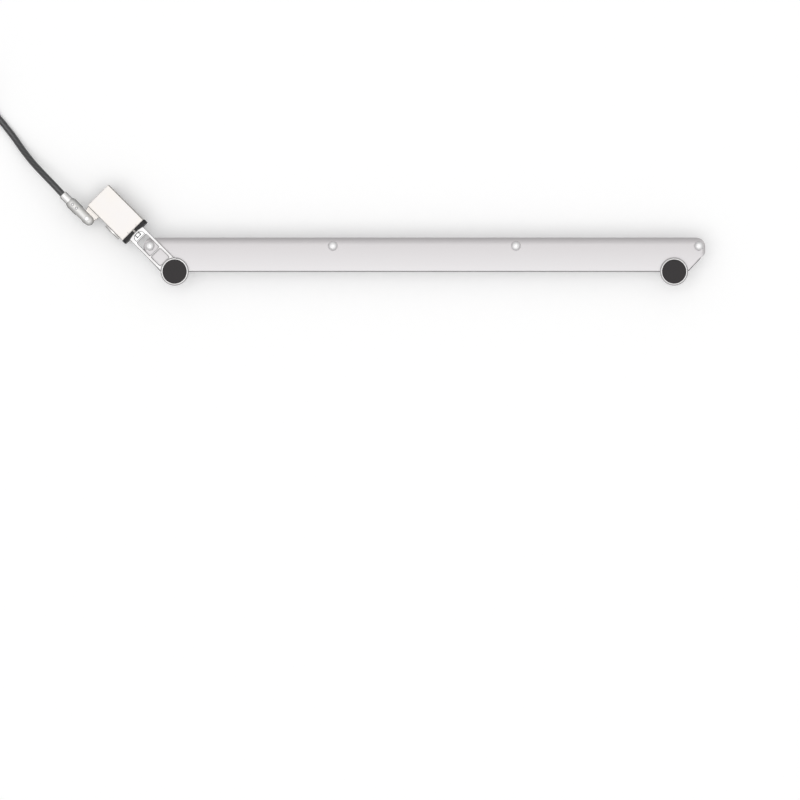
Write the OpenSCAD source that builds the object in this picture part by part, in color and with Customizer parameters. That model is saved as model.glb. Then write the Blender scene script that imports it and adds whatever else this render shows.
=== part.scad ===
// Laptop cable lock. A thin bracket plate is screwed to the laptop's underside along its hinge edge.
// An arm runs from one foot to the corner and ends in a security slot. A lock head with a T-bar
// hangs in that slot, turned by a key, and carries a swivel link with the steel cable.
// Millimetres. The origin is on the plate's laptop side, in the middle of the screw line. +Z points
// away from the laptop's underside and +Y away from its hinge edge.
// The arm and the head use their own axes: u along the arm, away from the foot, v to the side of
// the key, and z as in the whole.

/* [Bracket plate] */
// Distance between neighbouring case screws
screw_pitch = 113.5; // [105:0.5:120]
// Length of the plate beyond each outer screw
plate_end = 3.8; // [3.6:0.1:8]
// Width of the plate in front of the screw line
plate_front = 16.1; // [15:0.1:18]
// Width of the plate behind the screw line
plate_rear = 5.2; // [4.5:0.1:7]
// Thickness of the sheet
plate_t = 1.2; // [1:0.05:1.6]
// Radius of the roll along the rear edge, on the laptop's side
rear_roll_r = 9; // [8:0.5:20]
// Distance from the screw line to where the rear roll starts
rear_flat = 0.5; // [0.3:0.1:2]
// Radius of the roll at both ends, on the laptop's side
end_roll_r = 5; // [4.5:0.1:9]
// Width of the rolled ends
end_roll_w = 2.7; // [2:0.1:3.5]
// Rounding of the two rear corners, seen from above
rear_corner_r = 5.5; // [2:0.1:6]
// Length of the slanted front corners along the plate
slant_x = 10.6; // [7:0.1:11]
// Length of the slanted front corners across the plate
slant_y = 11.3; // [8:0.1:13]
// Rounding at both ends of each slant
slant_corner_r = 3; // [1:0.1:5]

/* [Case screws] */
// Diameter of the screw heads
screw_head_d = 5.4; // [4.6:0.1:5.6]
// Height of the screw heads
screw_head_h = 1.3; // [1.1:0.05:1.6]
// Radius of the dome on the screw heads
screw_dome_r = 4; // [3.7:0.1:6]
// Diameter of the screw shanks
screw_shank_d = 2.5; // [2:0.1:2.8]
// Length of the shanks below the laptop's face
screw_len = 4; // [3:0.5:6]
// Diameter of the screw necks, in the plate
screw_neck_d = 3.6; // [3.4:0.1:3.8]
// Thickness of the sheet left under the screw heads
screw_seat = 0.85; // [0.6:0.05:0.95]
// Width of the hexagon sockets across their corners
screw_socket_d = 1.8; // [1.4:0.1:2.2]
// Depth of the hexagon sockets
screw_socket_depth = 0.8; // [0.5:0.05:1]

/* [Feet] */
// Distance from the plate's end to the middle of a foot
foot_inset = 19.3; // [18.5:0.1:25]
// Distance from the screw line forward to the middle of a foot
foot_back = 15.9; // [15:0.1:17]
// Radius of the ears that carry the feet
ear_r = 8.3; // [7.6:0.1:8.6]
// Outer diameter of the foot rings
ring_d = 17.4; // [17.2:0.1:19]
// Width of the rim around the pads
ring_wall = 1.2; // [0.9:0.05:1.5]
// Height of the foot rings
ring_h = 1.7; // [1.65:0.05:2.2]
// Thickness of the floor under the pads
ring_floor = 0.8; // [0.7:0.05:1.1]
// Chamfer around the rims
ring_chamfer = 0.3; // [0.1:0.05:0.45]
// Thickness of the pads
pad_h = 1.4; // [1.2:0.05:2]
// Rounding of the pads' edges
pad_edge_r = 0.4; // [0.2:0.05:0.7]
// Diameter of the foot rivets
foot_rivet_d = 3; // [2.4:0.1:3.6]
// Diameter of the foot rivets' countersunk heads
foot_rivet_head_d = 5.8; // [4.6:0.1:6.6]
// Height of the foot rivets' heads
foot_rivet_head_h = 0.6; // [0.4:0.05:0.65]

/* [Lock arm] */
// Width of the arm
arm_w = 11.7; // [11.2:0.1:13]
// Thickness of the arm on the plate
arm_t = 1.6; // [1.3:0.05:1.65]
// Length of the arm beyond the plate's corner
arm_overhang = 5.93; // [5.8:0.01:8]
// Radius of the arm's rounded end, seen from above
arm_end_r = 21.8; // [15:0.1:40]
// Rounding of the two corners at the arm's end
arm_corner_r = 0.8; // [0.4:0.1:1.2]
// Depth of the arm's end block below the laptop's face
arm_drop = 5.6; // [5.2:0.1:7]
// Radius of the laptop's edge that the end block follows
laptop_edge_r = 12; // [10:0.5:16]
// Depth of the middle of that edge below the laptop's face
laptop_edge_depth = 6; // [5.6:0.1:7]
// Clearance between the plate's corner and the end block, at the middle of that edge
laptop_edge_gap = 1.6; // [1.4:0.1:2]
// Width of the two windows
window_w = 7.8; // [6.5:0.1:8.2]
// Rounding of the windows' corners
window_corner_r = 0.6; // [0.2:0.1:1.5]
// Length of the window beside the foot
near_window_len = 7.8; // [6:0.1:9]
// Width of the bar between the windows
window_bar = 1; // [0.8:0.05:1.6]
// Width of the bar between the far window and the end block's recess
end_bar = 1; // [0.6:0.05:1.2]
// Width of the tenon under the bar between the windows
tenon_w = 5; // [3:0.1:7]

/* [Security slot] */
// Width of the slot
slot_w = 7; // [6.9:0.1:7.4]
// Height of the slot
slot_h = 3; // [2.9:0.05:3.4]
// Height of the slot's middle above the laptop's face
slot_z = -0.4; // [-0.7:0.05:-0.3]
// Thickness of the wall that holds the slot
slot_wall = 1.4; // [1.2:0.05:1.6]
// Radius of the room behind the slot, in which the T-bar turns
slot_room_r = 3.3; // [3.3:0.05:3.6]
// Depth of that room
slot_room_len = 2.2; // [2.2:0.05:3]
// Length of the D-shaped recess over that room
recess_len = 3.2; // [2.8:0.1:3.4]
// Length of the recess's straight sides
recess_straight = 1.7; // [1.2:0.1:2]
// Width of the recess at its straight sides
recess_w = 6.6; // [6:0.1:7]
// Width of the recess at the slot wall
recess_tip_w = 3.8; // [3:0.1:4.5]
// Depth of the recess
recess_depth = 0.4; // [0.3:0.05:0.6]

/* [T-bar] */
// Length of the T-bar's head
bar_head_l = 6.1; // [5.6:0.1:6.3]
// Width of the T-bar's head
bar_head_w = 2.7; // [2.65:0.05:2.8]
// Thickness of the T-bar's head
bar_head_t = 1.65; // [1.3:0.05:1.8]
// Diameter over the rounded ends of the T-bar's head
bar_head_d = 6.2; // [6.1:0.1:6.4]
// Diameter of the T-bar's neck
bar_neck_d = 2.6; // [2.2:0.05:2.6]
// Play between the T-bar's head and the slot wall
bar_play = 0.15; // [0.1:0.05:0.3]
// Diameter of the cross pin that holds the T-bar in the lock head
bar_pin_d = 1.2; // [1:0.05:1.3]
// Length of the cross pin
bar_pin_len = 6; // [4.5:0.1:7]

/* [Nose collar] */
// Gap between the arm's end and the collar
collar_gap = 0.3; // [0.2:0.05:1.2]
// Thickness of the collar
collar_t = 1.6; // [0.8:0.05:1.8]
// How far the collar stands out beside the lock head
collar_over = 0.4; // [0:0.05:0.8]
// How far the collar's top lies below the lock head's top
collar_step = 0.1; // [0:0.05:0.4]
// How far the collar reaches below the lock head
collar_under = 0.2; // [0:0.05:0.6]
// Rounding of the collar's corners
collar_corner_r = 2; // [1:0.1:3]
// Width of the collar's opening
collar_open_w = 7.8; // [7.4:0.1:9]
// Height of the collar's opening
collar_open_h = 3.6; // [3.2:0.1:3.8]
// Width of the nib that keys the collar to the lock head
nib_w = 1.2; // [1:0.1:2.4]
// Height of the nib
nib_h = 0.9; // [0.6:0.05:1]

/* [Lock head] */
// Length of the lock head
head_len = 30.8; // [30:0.1:36]
// Width of the lock head
head_w = 18.4; // [18:0.1:20]
// How far the lock head's top lies below the pads' top
head_below_pads = 0.8; // [0.6:0.05:1.1]
// Rounding of the lock head's edges
head_edge_r = 0.9; // [0.5:0.1:1.2]
// Thickness of the nose wall, which the T-bar and the locking pins pass
nose_wall = 4; // [3.6:0.1:4.4]
// Thickness of the roof over the mechanism
roof_t = 1.3; // [1:0.05:1.4]
// Length of the mechanism's room
room_len = 10.2; // [9.8:0.1:12]
// Gap behind the pin carrier's tail
room_gap = 0.6; // [0.3:0.1:1]
// Half width of the mechanism's room on the key's side
room_front = 4.4; // [4.1:0.1:4.9]
// Thickness of the base cover
cover_t = 1.6; // [1.2:0.1:2]
// Width of the housing's edge around the base cover
cover_inset = 1.6; // [1.4:0.1:1.9]
// Rounding of the base cover's corners
cover_corner_r = 1; // [0.5:0.1:2]
// Diameter of the base cover's rivets
cover_rivet_d = 1.8; // [1.4:0.1:1.9]
// Diameter of the rivets' flush heads
cover_rivet_head_d = 2.6; // [2.2:0.1:2.7]
// Height of the rivets' flush heads
cover_rivet_head_h = 0.6; // [0.4:0.05:0.8]
// Depth of the rivets in the housing
cover_rivet_grip = 2.4; // [1.6:0.1:3]
// Distance from the lock head's ends to the rivets
cover_rivet_inset = 2.95; // [2.9:0.01:3]
// Distance from the lock head's sides to the rivets
cover_rivet_side = 3.2; // [3:0.05:3.4]
// Diameter of the two witness holes in the nose
witness_d = 0.6; // [0.4:0.05:1]
// Distance of the witness holes from the lock head's nose
witness_inset = 1; // [0.9:0.1:2.5]
// Distance between the witness holes
witness_spread = 7; // [6:0.1:9]

/* [Key cylinder] */
// Distance from the lock head's nose to the key's axis
plug_inset = 8.5; // [8.4:0.05:8.8]
// Outer diameter of the cylinder's shell
shell_d = 8.2; // [8:0.05:8.4]
// How far the shell stands out of the lock head
shell_proud = 1.5; // [1.2:0.05:1.6]
// How far the shell reaches past the lock head's middle
shell_reach = 1.2; // [0.8:0.1:1.6]
// Diameter of the key plug
plug_d = 6; // [5.9:0.05:6.1]
// Diameter of the plug's face
plug_face_d = 6.8; // [6.6:0.05:7]
// Thickness of the plug's face
plug_face_t = 0.75; // [0.5:0.05:0.9]
// Outer diameter of the rim around the cylinder
rim_d = 11.6; // [11:0.1:12.4]
// Thickness of the rim
rim_t = 1.7; // [1.2:0.05:2]
// Chamfer around the rim
rim_chamfer = 0.35; // [0.1:0.05:0.6]
// Housing left below the rim
rim_land = 0.5; // [0.3:0.1:1.5]
// Width of the keyway
keyway_w = 4.6; // [4:0.1:5]
// Height of the keyway
keyway_h = 1.6; // [1.2:0.1:1.7]
// Length of plug behind the keyway
keyway_end = 1.9; // [1.7:0.1:2.2]
// Number of wafers
wafer_count = 5; // [3:1:5]
// Distance between neighbouring wafers
wafer_pitch = 1.7; // [1.5:0.05:1.75]
// Thickness of a wafer
wafer_t = 0.8; // [0.6:0.05:0.9]
// Width of a wafer
wafer_w = 2.6; // [2.2:0.05:2.7]
// Distance from the plug's face to the first wafer
wafer_start = 1.25; // [1.2:0.05:1.4]
// Travel of a wafer out of the plug
wafer_throw = 0.5; // [0.3:0.05:0.55]
// Diameter of the pin that holds the cylinder in the lock head
shell_pin_d = 1.5; // [1.2:0.1:1.6]
// Distance of that pin from the lock head's side
shell_pin_depth = 2.6; // [2.5:0.05:2.8]
// How far the middle of that pin lies outside the shell
shell_pin_out = 0.35; // [0.3:0.05:0.5]
// Depth of that pin's front end in the nose
shell_pin_sunk = 0.6; // [0.3:0.1:1]
// How far that pin reaches past the key's axis
shell_pin_past = 3.6; // [3:0.1:4.2]

/* [Locking gear] */
// Diameter of the drive cam
cam_d = 7.4; // [7:0.1:7.8]
// Thickness of the drive cam
cam_t = 1.25; // [1:0.05:1.4]
// Distance of the crank pin from the key's axis
crank_r = 2.1; // [1.9:0.05:2.2]
// Diameter of the crank pin
crank_pin_d = 1.6; // [1.4:0.05:1.8]
// Diameter of the cam screw's head
cam_screw_head_d = 2.6; // [2:0.1:2.6]
// Height of the cam screw's head
cam_screw_head_h = 0.75; // [0.5:0.05:0.8]
// Diameter of the cam screw's shank
cam_screw_d = 1.6; // [1.2:0.1:1.8]
// Length of the cam screw's shank in the plug
cam_screw_grip = 1.6; // [1.2:0.1:1.7]
// Width of the driver slot in the cam screw's head
driver_slot = 0.4; // [0.3:0.05:0.5]
// Height of the pin carrier's bridge
bridge_h = 2.3; // [2:0.05:2.4]
// Thickness of the pin carrier's bridge
bridge_t = 2.5; // [2.2:0.1:2.8]
// Thickness of the pin carrier's tail
tail_t = 1.7; // [1.4:0.05:1.8]
// Width of the pin carrier's tail
tail_w = 4.4; // [4:0.1:4.8]
// Diameter of the locking pins
lock_pin_d = 1.5; // [1.2:0.05:1.6]
// Distance between the locking pins
lock_pin_spread = 5.2; // [5:0.05:5.4]
// How far the locking pins reach into the slot wall
lock_pin_reach = 1.1; // [0.8:0.05:1.3]
// Outer diameter of the carrier's spring
spring_d = 2.4; // [2.2:0.05:2.6]
// Thickness of the spring's wire
spring_wire = 0.4; // [0.3:0.05:0.5]
// Turns of the spring
spring_turns = 8; // [5:1:10]
// Length of the spring
spring_len = 11.8; // [10.8:0.1:13]

/* [Swivel and cable] */
// Distance from the lock head's rear end to the pivot
pivot_inset = 5.3; // [5:0.05:5.4]
// Distance from the lock head's side to the pivot
pivot_out = 6.15; // [5.7:0.05:6.4]
// Thickness of the lug
lug_t = 3; // [2.6:0.1:3.2]
// Width of the lug where it leaves the lock head
lug_w = 9.6; // [9:0.1:10]
// Radius of the lug's eye
lug_eye_r = 3.4; // [3:0.1:3.4]
// Length of the lug's stem inside the lock head
stem_len = 4.6; // [4:0.1:5]
// Width of the lug's stem
stem_w = 7.4; // [7:0.1:7.6]
// Thickness of the lug's stem
stem_t = 4; // [3.2:0.1:4.6]
// Diameter of the pin through the lug's stem
lug_pin_d = 2; // [1.6:0.1:2]
// Length of the pin through the lug's stem
lug_pin_len = 9.4; // [8:0.1:10]
// Distance of that pin from the lock head's side
lug_pin_depth = 2.8; // [2.6:0.05:3]
// Diameter of the swivel link
link_d = 7; // [6.8:0.1:7.4]
// Distance from the pivot to the middle of the link's round nose
link_nose = 1.7; // [1.4:0.1:1.8]
// Length of the link behind the pivot
link_tail = 15.5; // [15.2:0.1:18]
// Length of the taper at the link's end
link_taper = 1.8; // [1:0.1:2.4]
// Diameter of the link's end
link_end_d = 5.8; // [5.7:0.1:6.2]
// Depth of the fork's slot behind the pivot
fork_depth = 6.8; // [6.7:0.05:7.2]
// Diameter of the pivot rivet
pivot_d = 2.6; // [2.2:0.1:2.8]
// Radius of the domes on the pivot rivet's ends, from the pivot's middle
pivot_dome_r = 3.65; // [3.6:0.05:3.8]
// Diameter of the two clamp rivets
clamp_rivet_d = 1.6; // [1.2:0.1:1.8]
// Distance from the pivot to the first clamp rivet
clamp_rivet_first = 9.1; // [9:0.1:9.4]
// Distance between the clamp rivets
clamp_rivet_gap = 3.4; // [3:0.1:3.6]
// Distance from the pivot to the ferrule's inner end
ferrule_start = 7.9; // [7.7:0.1:8]
// Diameter of the ferrule's stem in the link
ferrule_stem_d = 4.2; // [3.6:0.1:4.4]
// Diameter of the ferrule
ferrule_d = 5.3; // [5:0.1:5.6]
// Length of the ferrule outside the link
ferrule_len = 5.9; // [4:0.1:8]
// Diameter of the cable over its sheath
cable_d = 4; // [3.6:0.1:4.4]
// Length of the crimp sleeve
sleeve_len = 13; // [10:0.5:18]
// Wall of the crimp sleeve
sleeve_wall = 0.6; // [0.5:0.05:1]
// Radius of the end loop
loop_r = 14; // [12:0.5:16]
// Distance from the crimp sleeve to the middle of the end loop
loop_out = 34; // [30:0.5:38]
// Width of the strap around the coil
tie_w = 10; // [8:0.5:12]
// Thickness of the strap
tie_t = 0.8; // [0.6:0.05:1]

/* [Clearances] */
// Play of pieces that are pressed or riveted together, on each side
press_fit = 0.02; // [0.01:0.01:0.03]
// Play of pieces that are laid into each other, on each side
seat_fit = 0.05; // [0.02:0.01:0.08]
// Play of pieces that turn or slide in each other, on each side
running_fit = 0.05; // [0.03:0.01:0.07]
// Play of the crank pin in the carrier's fork, on each side
crank_fit = 0.1; // [0.1:0.01:0.15]
// Gap between the pin carrier and the cylinder's shell
carrier_gap = 0.25; // [0.2:0.05:0.3]

/* [Hidden] */
$fn = 64;

// Reach of a cutting body past the surface that it cuts
past = 1;

// Plate
screw_count = 4;
half_len = (screw_count - 1) / 2 * screw_pitch + plate_end;
form_depth = 6;
roll_past = 0.6;
roll_steps = 8;
screw_hole_fit = 0.1;
screw_spot_fit = 0.2;

// Feet
foot_x = half_len - foot_inset;
ring_r = ring_d / 2;
pocket_r = ring_r - ring_wall;
pad_z = plate_t + ring_floor;
pad_top = pad_z + pad_h;

// Arm
near_window_gap = 0.1;
tenon_shoulder = 0.3;
corner_u = (half_len - foot_x + plate_rear + foot_back) * sqrt(1 / 2);
arm_reach = corner_u + arm_overhang;
arm_top = plate_t + arm_t;
arm_start = 5;
wall_u = arm_reach - slot_wall;
recess_u = wall_u - recess_len;
near_window_u = ring_r + near_window_gap;
bar_u = near_window_u + near_window_len;
far_window_u = bar_u + window_bar;
far_window_end = recess_u - end_bar;
recess_floor_z = arm_top - recess_depth;
tenon_t = window_bar - tenon_shoulder;
tenon_z = 0.2;
slot_corner_r = 0.3;

// Collar and lock head
bar_pin_over = 0.3;
bar_end_gap = 0.2;
collar_u = arm_reach + collar_gap;
head_u = collar_u + collar_t;
head_end = head_u + head_len;
head_v = head_w / 2;
head_top = pad_top - head_below_pads;
collar_top = head_top - collar_step;
cover_rivet_v = head_v - cover_rivet_side;
room_u = head_u + nose_wall;
room_end = room_u + room_len;
room_top = head_top - roof_t;
bar_pin_u = head_u + nose_wall / 2;
bar_pin_top = room_top + bar_pin_over;
bar_end = room_u - bar_end_gap;
nib_z = collar_top - nib_h;
nib_out = 0.1;

// Key cylinder. The key's axis runs along v.
groove_gap = 0.1;
wafer_gap = 0.04;
plug_u = head_u + plug_inset;
shell_r = shell_d / 2;
plug_z = slot_z - bridge_h / 2 - carrier_gap - shell_r;
shell_v0 = -shell_reach;
shell_v1 = head_v + shell_proud;
plug_r = plug_d / 2 - running_fit / 2;
bore_r = plug_d / 2 + running_fit / 2;
plug_v0 = shell_v0 - crank_fit;
plug_v1 = shell_v1 - crank_fit;
face_v = plug_v1 - plug_face_t;
face_r = plug_face_d / 2;
head_bottom = plug_z - rim_d / 2 - rim_land;
cover_z = head_bottom + cover_t;
groove_r = plug_d / 2 + wafer_throw + groove_gap;
wafer_r = plug_r - wafer_gap;
wafer_first = face_v - wafer_start;
wafer_window = [3.8, 1.8];
shell_pin_v = head_v - shell_pin_depth;
shell_pin_z = plug_z + shell_r + shell_pin_out;
shell_pin_u0 = head_u + shell_pin_sunk;
shell_pin_end = plug_u + shell_pin_past;

// Locking gear. At rest the crank pin stands at 45 degrees below the key's axis, on the arm's side.
gear_gap = 0.3;
bridge_gap = 0.5;
bridge_side_gap = 0.8;
tail_under = 0.5;
pin_back = 0.2;
spring_rise = 0.15;
spring_gap = 0.2;
peg_gap = 0.1;
cam_v = plug_v0 - cam_t;
crank_u = plug_u - crank_r * sqrt(1 / 2);
crank_z = plug_z - crank_r * sqrt(1 / 2);
crank_low = plug_z - crank_r - crank_pin_d / 2;
screw_v = cam_v - cam_screw_head_h;
tail_v1 = screw_v - gear_gap;
tail_v0 = tail_v1 - tail_t;
room_v0 = tail_v0 - room_gap;
bridge_u = room_u + bridge_gap;
bridge_end = bridge_u + bridge_t;
bridge_front = room_front - bridge_side_gap;
tail_low = crank_low - tail_under;
fork_top = crank_z + crank_pin_d / 2 + gear_gap;
lock_pin_u = arm_reach - lock_pin_reach;
lock_pin_v = lock_pin_spread / 2;
pin_seat = bridge_t - pin_back;
spring_z = slot_z + spring_rise;
spring_end = bridge_end + spring_len;
spring_room = spring_d / 2 + spring_gap;
spring_steps = 10;
peg_len = 1.6;
peg_r = spring_d / 2 - spring_wire - peg_gap;

// Swivel
link_z = (head_top + head_bottom) / 2;
pivot_u = head_end - pivot_inset;
pivot_v = head_v + pivot_out;
link_r = link_d / 2;
link_end = pivot_u + link_tail;
fork_gap = lug_t / 2 + 2 * running_fit;
stem_v = head_v - stem_len;
lug_pin_v = head_v - lug_pin_depth;
ferrule_u = pivot_u + ferrule_start;
ferrule_end = link_end + ferrule_len;
ferrule_edge = 0.5;

// Cable. The floor is what the loose cable lies on while the lock hangs on the laptop's corner.
cable_r = cable_d / 2;
cable_sides = 10;
floor_z = -18;
cable_start = lock_point(ferrule_end, pivot_v, link_z);
cable_route = [[-230, 38, -5.4], [-236.8, 45, -7.4], [-243.5, 52.2, -10.6], [-249.8, 60.1, -13.6],
    [-255.4, 68, -15.4], [-261, 75.2, -16], [-266, 81.4, -16], [-269.7, 87.6, -16],
    [-272.5, 94.2, -16], [-274.9, 101.2, -16], [-277.3, 108, -16]];
coil_centre = [-307, 96];
coil_section = [[14, -18], [34, -18], [34, -14.6], [32, -12.5], [32, -10.8], [30, -9.2], [29.6, -7],
    [28, -6.2], [20, -6.2], [18.4, -7], [18, -9.2], [16, -10.8], [16, -12.5], [14, -14.6]];
tail_route = [[-297, 113.3, -8.2], [-302, 115.7, -7], [-307, 116.8, -5.6], [-314.5, 116.9, -4.5],
    [-322.7, 114.8, -4.1], [-331.2, 110, -4.2], [-337.4, 104, -5.2], [-341.7, 97.6, -7.4],
    [-344.4, 91.2, -10.4], [-345.8, 84.6, -13.2], [-346.1, 77.8, -15], [-346, 71, -15.6],
    [-346, 64, -15.4]];
sleeve_end = tail_route[len(tail_route) - 1];
sleeve_half = 2 * cable_r + sleeve_wall;
leg_gap = cable_r + 0.1;
loop_centre = [sleeve_end[0] - leg_gap, sleeve_end[1] - sleeve_len - loop_out, floor_z + cable_r];
loop_angle = atan2(loop_out, leg_gap) - acos(loop_r / norm([loop_out, leg_gap]));
loop_steps = 16;
leg_steps = 3;
tie_angle = 270;
tie_middle = [24, -12];
tie_gap = 0.3;
tie_inner = sqrt(pow(coil_section[0][0], 2) - pow(tie_w / 2, 2)) - tie_gap;
tie_section = [[tie_inner, -17.2], [34.4, -17.2], [34.4, -13.6], [32.6, -9.2], [28.6, -5.3],
    [18.4, -5.3], [14.2, -9.8], [tie_inner, -13.6]];

// Colours
c_plate = "#e0dedf";
c_frame = "#dcdadb";
c_white = "#faf4f2";
c_steel = "#c9c8c6";
c_nickel = "#b5b2ab";
c_brass = "#c4a75c";
c_black = "#2b2829";
c_pad = "#3c393a";
c_sheath = "#4c4b4c";

// ---- Points, outlines and simple bodies ----

function unit(v) = v / norm(v);

// The place of a point of the lock's own axes
function lock_point(u, v, z) =
    [-foot_x - (u + v) * sqrt(1 / 2), -foot_back + (u - v) * sqrt(1 / 2), z];

// Corner b of an outline, rounded with radius r between its neighbours a and c
function corner(a, b, c, r, n) =
    let (p = unit(a - b),
         q = unit(c - b),
         half = acos(p * q) / 2,
         m = b + unit(p + q) * r / sin(half),
         s = b + p * r / tan(half) - m,
         e = b + q * r / tan(half) - m,
         turn = sign(cross(s, e)) * (180 - 2 * half),
         first = atan2(s[1], s[0]))
    [for (i = [0:n]) m + r * [cos(first + turn * i / n), sin(first + turn * i / n)]];

// An outline through the given corners; a corner whose radius is 0 stays sharp
function rounded(points, radii, n = 5) =
    let (k = len(points))
    [for (i = [0:k - 1]) each radii[i] == 0 ? [points[i]]
        : corner(points[(i + k - 1) % k], points[i], points[(i + 1) % k], radii[i], n)];

// A rectangle with rounded corners between two opposite corners
function rounded_box(a, b, r) =
    rounded([a, [b[0], a[1]], b, [a[0], b[1]]], [r, r, r, r]);

// Points of a sheet surface at height h that turns down beyond start with inner radius r
function roll(start, r, h, reach) =
    let (turn = asin(reach / r))
    [for (i = [0:roll_steps])
        [start + (r + h) * sin(turn * i / roll_steps), (r + h) * cos(turn * i / roll_steps) - r]];

// Ring of points around point i of a path, square to the path
function ring(path, i, r, n, ref) =
    let (last = len(path) - 1,
         along = unit(path[min(i + 1, last)] - path[max(i - 1, 0)]),
         side = unit(cross(ref, along)),
         up = cross(along, side))
    [for (k = [0:n - 1]) path[i] + r * (side * cos(360 * k / n) + up * sin(360 * k / n))];

// Round bar along a path
module tube(path, r, n, ref = [0, 0, 1]) {
    last = len(path) - 1;
    points = [for (i = [0:last]) each ring(path, i, r, n, ref)];
    sides = [for (i = [0:last - 1], k = [0:n - 1])
        let (a = i * n + k, b = i * n + (k + 1) % n)
        each [[a, b + n, b], [a, a + n, b + n]]];
    start_cap = [for (k = [1:n - 2]) [0, k, k + 1]];
    end_cap = [for (k = [1:n - 2]) [last * n, last * n + k + 1, last * n + k]];
    polyhedron(points, concat(sides, start_cap, end_cap));
}

module block(a, b) translate(a) cube(b - a);

module rod_u(u0, u1, v, z, r) translate([u0, v, z]) rotate([0, 90, 0]) cylinder(h = u1 - u0, r = r);

module rod_v(v0, v1, u, z, r) translate([u, v0, z]) rotate([-90, 0, 0]) cylinder(h = v1 - v0, r = r);

module rod_z(z0, z1, u, v, r) translate([u, v, z0]) cylinder(h = z1 - z0, r = r);

// Plate between u0 and u1 with an outline in v and z
module slab_u(u0, u1, outline)
    translate([u0, 0, 0]) rotate([90, 0, 90]) linear_extrude(u1 - u0) polygon(outline);

// Moves the lock's own axes to their place at the left foot
module lock_frame() translate([-foot_x, -foot_back, 0]) rotate([0, 0, 135]) children();

module at_screws() for (i = [0:screw_count - 1])
    translate([(i - (screw_count - 1) / 2) * screw_pitch, 0, 0]) children();

module at_feet() for (x = [-foot_x, foot_x]) translate([x, -foot_back, 0]) children();

module at_cover_rivets()
    for (u = [head_u + cover_rivet_inset, head_end - cover_rivet_inset], v = [-1, 1])
        translate([u, v * cover_rivet_v, 0]) children();

module at_wafers() for (i = [0:wafer_count - 1])
    translate([plug_u, wafer_first - i * wafer_pitch, plug_z]) children();

module at_clamp_rivets() for (i = [0, 1])
    translate([pivot_u + clamp_rivet_first + i * clamp_rivet_gap, pivot_v, link_z]) children();

// ---- Bracket plate, screws and feet ----

// Everything below the sheet surface at height h: flat in front, rolled down at the rear and the ends
module plate_form(h) {
    rear = roll(rear_flat, rear_roll_r, h, plate_rear - rear_flat + roll_past);
    side = roll(half_len - end_roll_w, end_roll_r, h, end_roll_w + roll_past);
    front = -foot_back - ear_r - past;
    side_x = side[roll_steps][0];
    intersection() {
        rotate([90, 0, 90]) linear_extrude(2 * side_x + past, center = true)
            polygon(concat([[front, h]], rear,
                [[rear[roll_steps][0], h - form_depth], [front, h - form_depth]]));
        rotate([90, 0, 0]) linear_extrude(-2 * front, center = true)
            polygon(concat(side, [[side_x, h - form_depth], [-side_x, h - form_depth]],
                [for (i = [roll_steps:-1:0]) [-side[i][0], side[i][1]]]));
    }
}

// Everything inside the plate's outline, with the ears for the feet
module plate_blank() {
    slant = slant_y - plate_front;
    translate([0, 0, -form_depth]) linear_extrude(form_depth + 2 * plate_t) polygon(rounded(
        [[-half_len, plate_rear], [half_len, plate_rear], [half_len, slant],
            [half_len - slant_x, -plate_front], [slant_x - half_len, -plate_front], [-half_len, slant]],
        [rear_corner_r, rear_corner_r, slant_corner_r, slant_corner_r, slant_corner_r, slant_corner_r]));
    at_feet() rod_z(-form_depth, 2 * plate_t, 0, 0, ear_r);
}

module bracket_plate() color(c_plate) difference() {
    intersection() {
        plate_form(plate_t);
        plate_blank();
    }
    plate_form(0);
    at_screws() {
        rod_z(-past, plate_t + past, 0, 0, screw_neck_d / 2 + screw_hole_fit);
        rod_z(screw_seat, plate_t + past, 0, 0, screw_head_d / 2 + screw_spot_fit);
    }
    at_feet() rod_z(-past, plate_t + past, 0, 0, foot_rivet_d / 2);
    lock_frame() block([bar_u + (window_bar - tenon_t) / 2 - seat_fit, -tenon_w / 2 - seat_fit, -past],
        [bar_u + (window_bar + tenon_t) / 2 + seat_fit, tenon_w / 2 + seat_fit, plate_t + past]);
}

module case_screws() color(c_steel) at_screws() difference() {
    union() {
        intersection() {
            rod_z(screw_seat, screw_seat + screw_head_h + past, 0, 0, screw_head_d / 2);
            translate([0, 0, screw_seat + screw_head_h - screw_dome_r]) sphere(r = screw_dome_r);
        }
        rod_z(0, screw_seat + screw_head_h / 4, 0, 0, screw_neck_d / 2);
        rod_z(-screw_len, screw_seat, 0, 0, screw_shank_d / 2);
    }
    translate([0, 0, screw_seat + screw_head_h - screw_socket_depth])
        cylinder(h = screw_socket_depth + past, d = screw_socket_d, $fn = 6);
}

// Shallow cup that holds a pad, without its hollow
module cup_body() translate([0, 0, plate_t]) rotate_extrude()
    polygon([[0, 0], [ring_r, 0], [ring_r, ring_h - ring_chamfer], [ring_r - ring_chamfer, ring_h],
        [0, ring_h]]);

// Hollow of the cup and the countersunk hole of its rivet
module cup_hollow() {
    rod_z(pad_z, plate_t + ring_h + past, 0, 0, pocket_r);
    rod_z(plate_t - past, pad_z + past / 2, 0, 0, foot_rivet_d / 2);
    translate([0, 0, pad_z - foot_rivet_head_h])
        cylinder(h = foot_rivet_head_h, d1 = foot_rivet_d, d2 = foot_rivet_head_d);
}

module foot_ring() color(c_frame) translate([foot_x, -foot_back, 0]) difference() {
    cup_body();
    cup_hollow();
}

module pad(x) translate([x, -foot_back, pad_z]) rotate_extrude()
    polygon(rounded([[0, 0], [pocket_r - seat_fit, 0], [pocket_r - seat_fit, pad_h], [0, pad_h]],
        [0, 0, pad_edge_r, 0]));

module foot_pad_left() color(c_pad) pad(-foot_x);

module foot_pad_right() color(c_pad) pad(foot_x);

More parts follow.
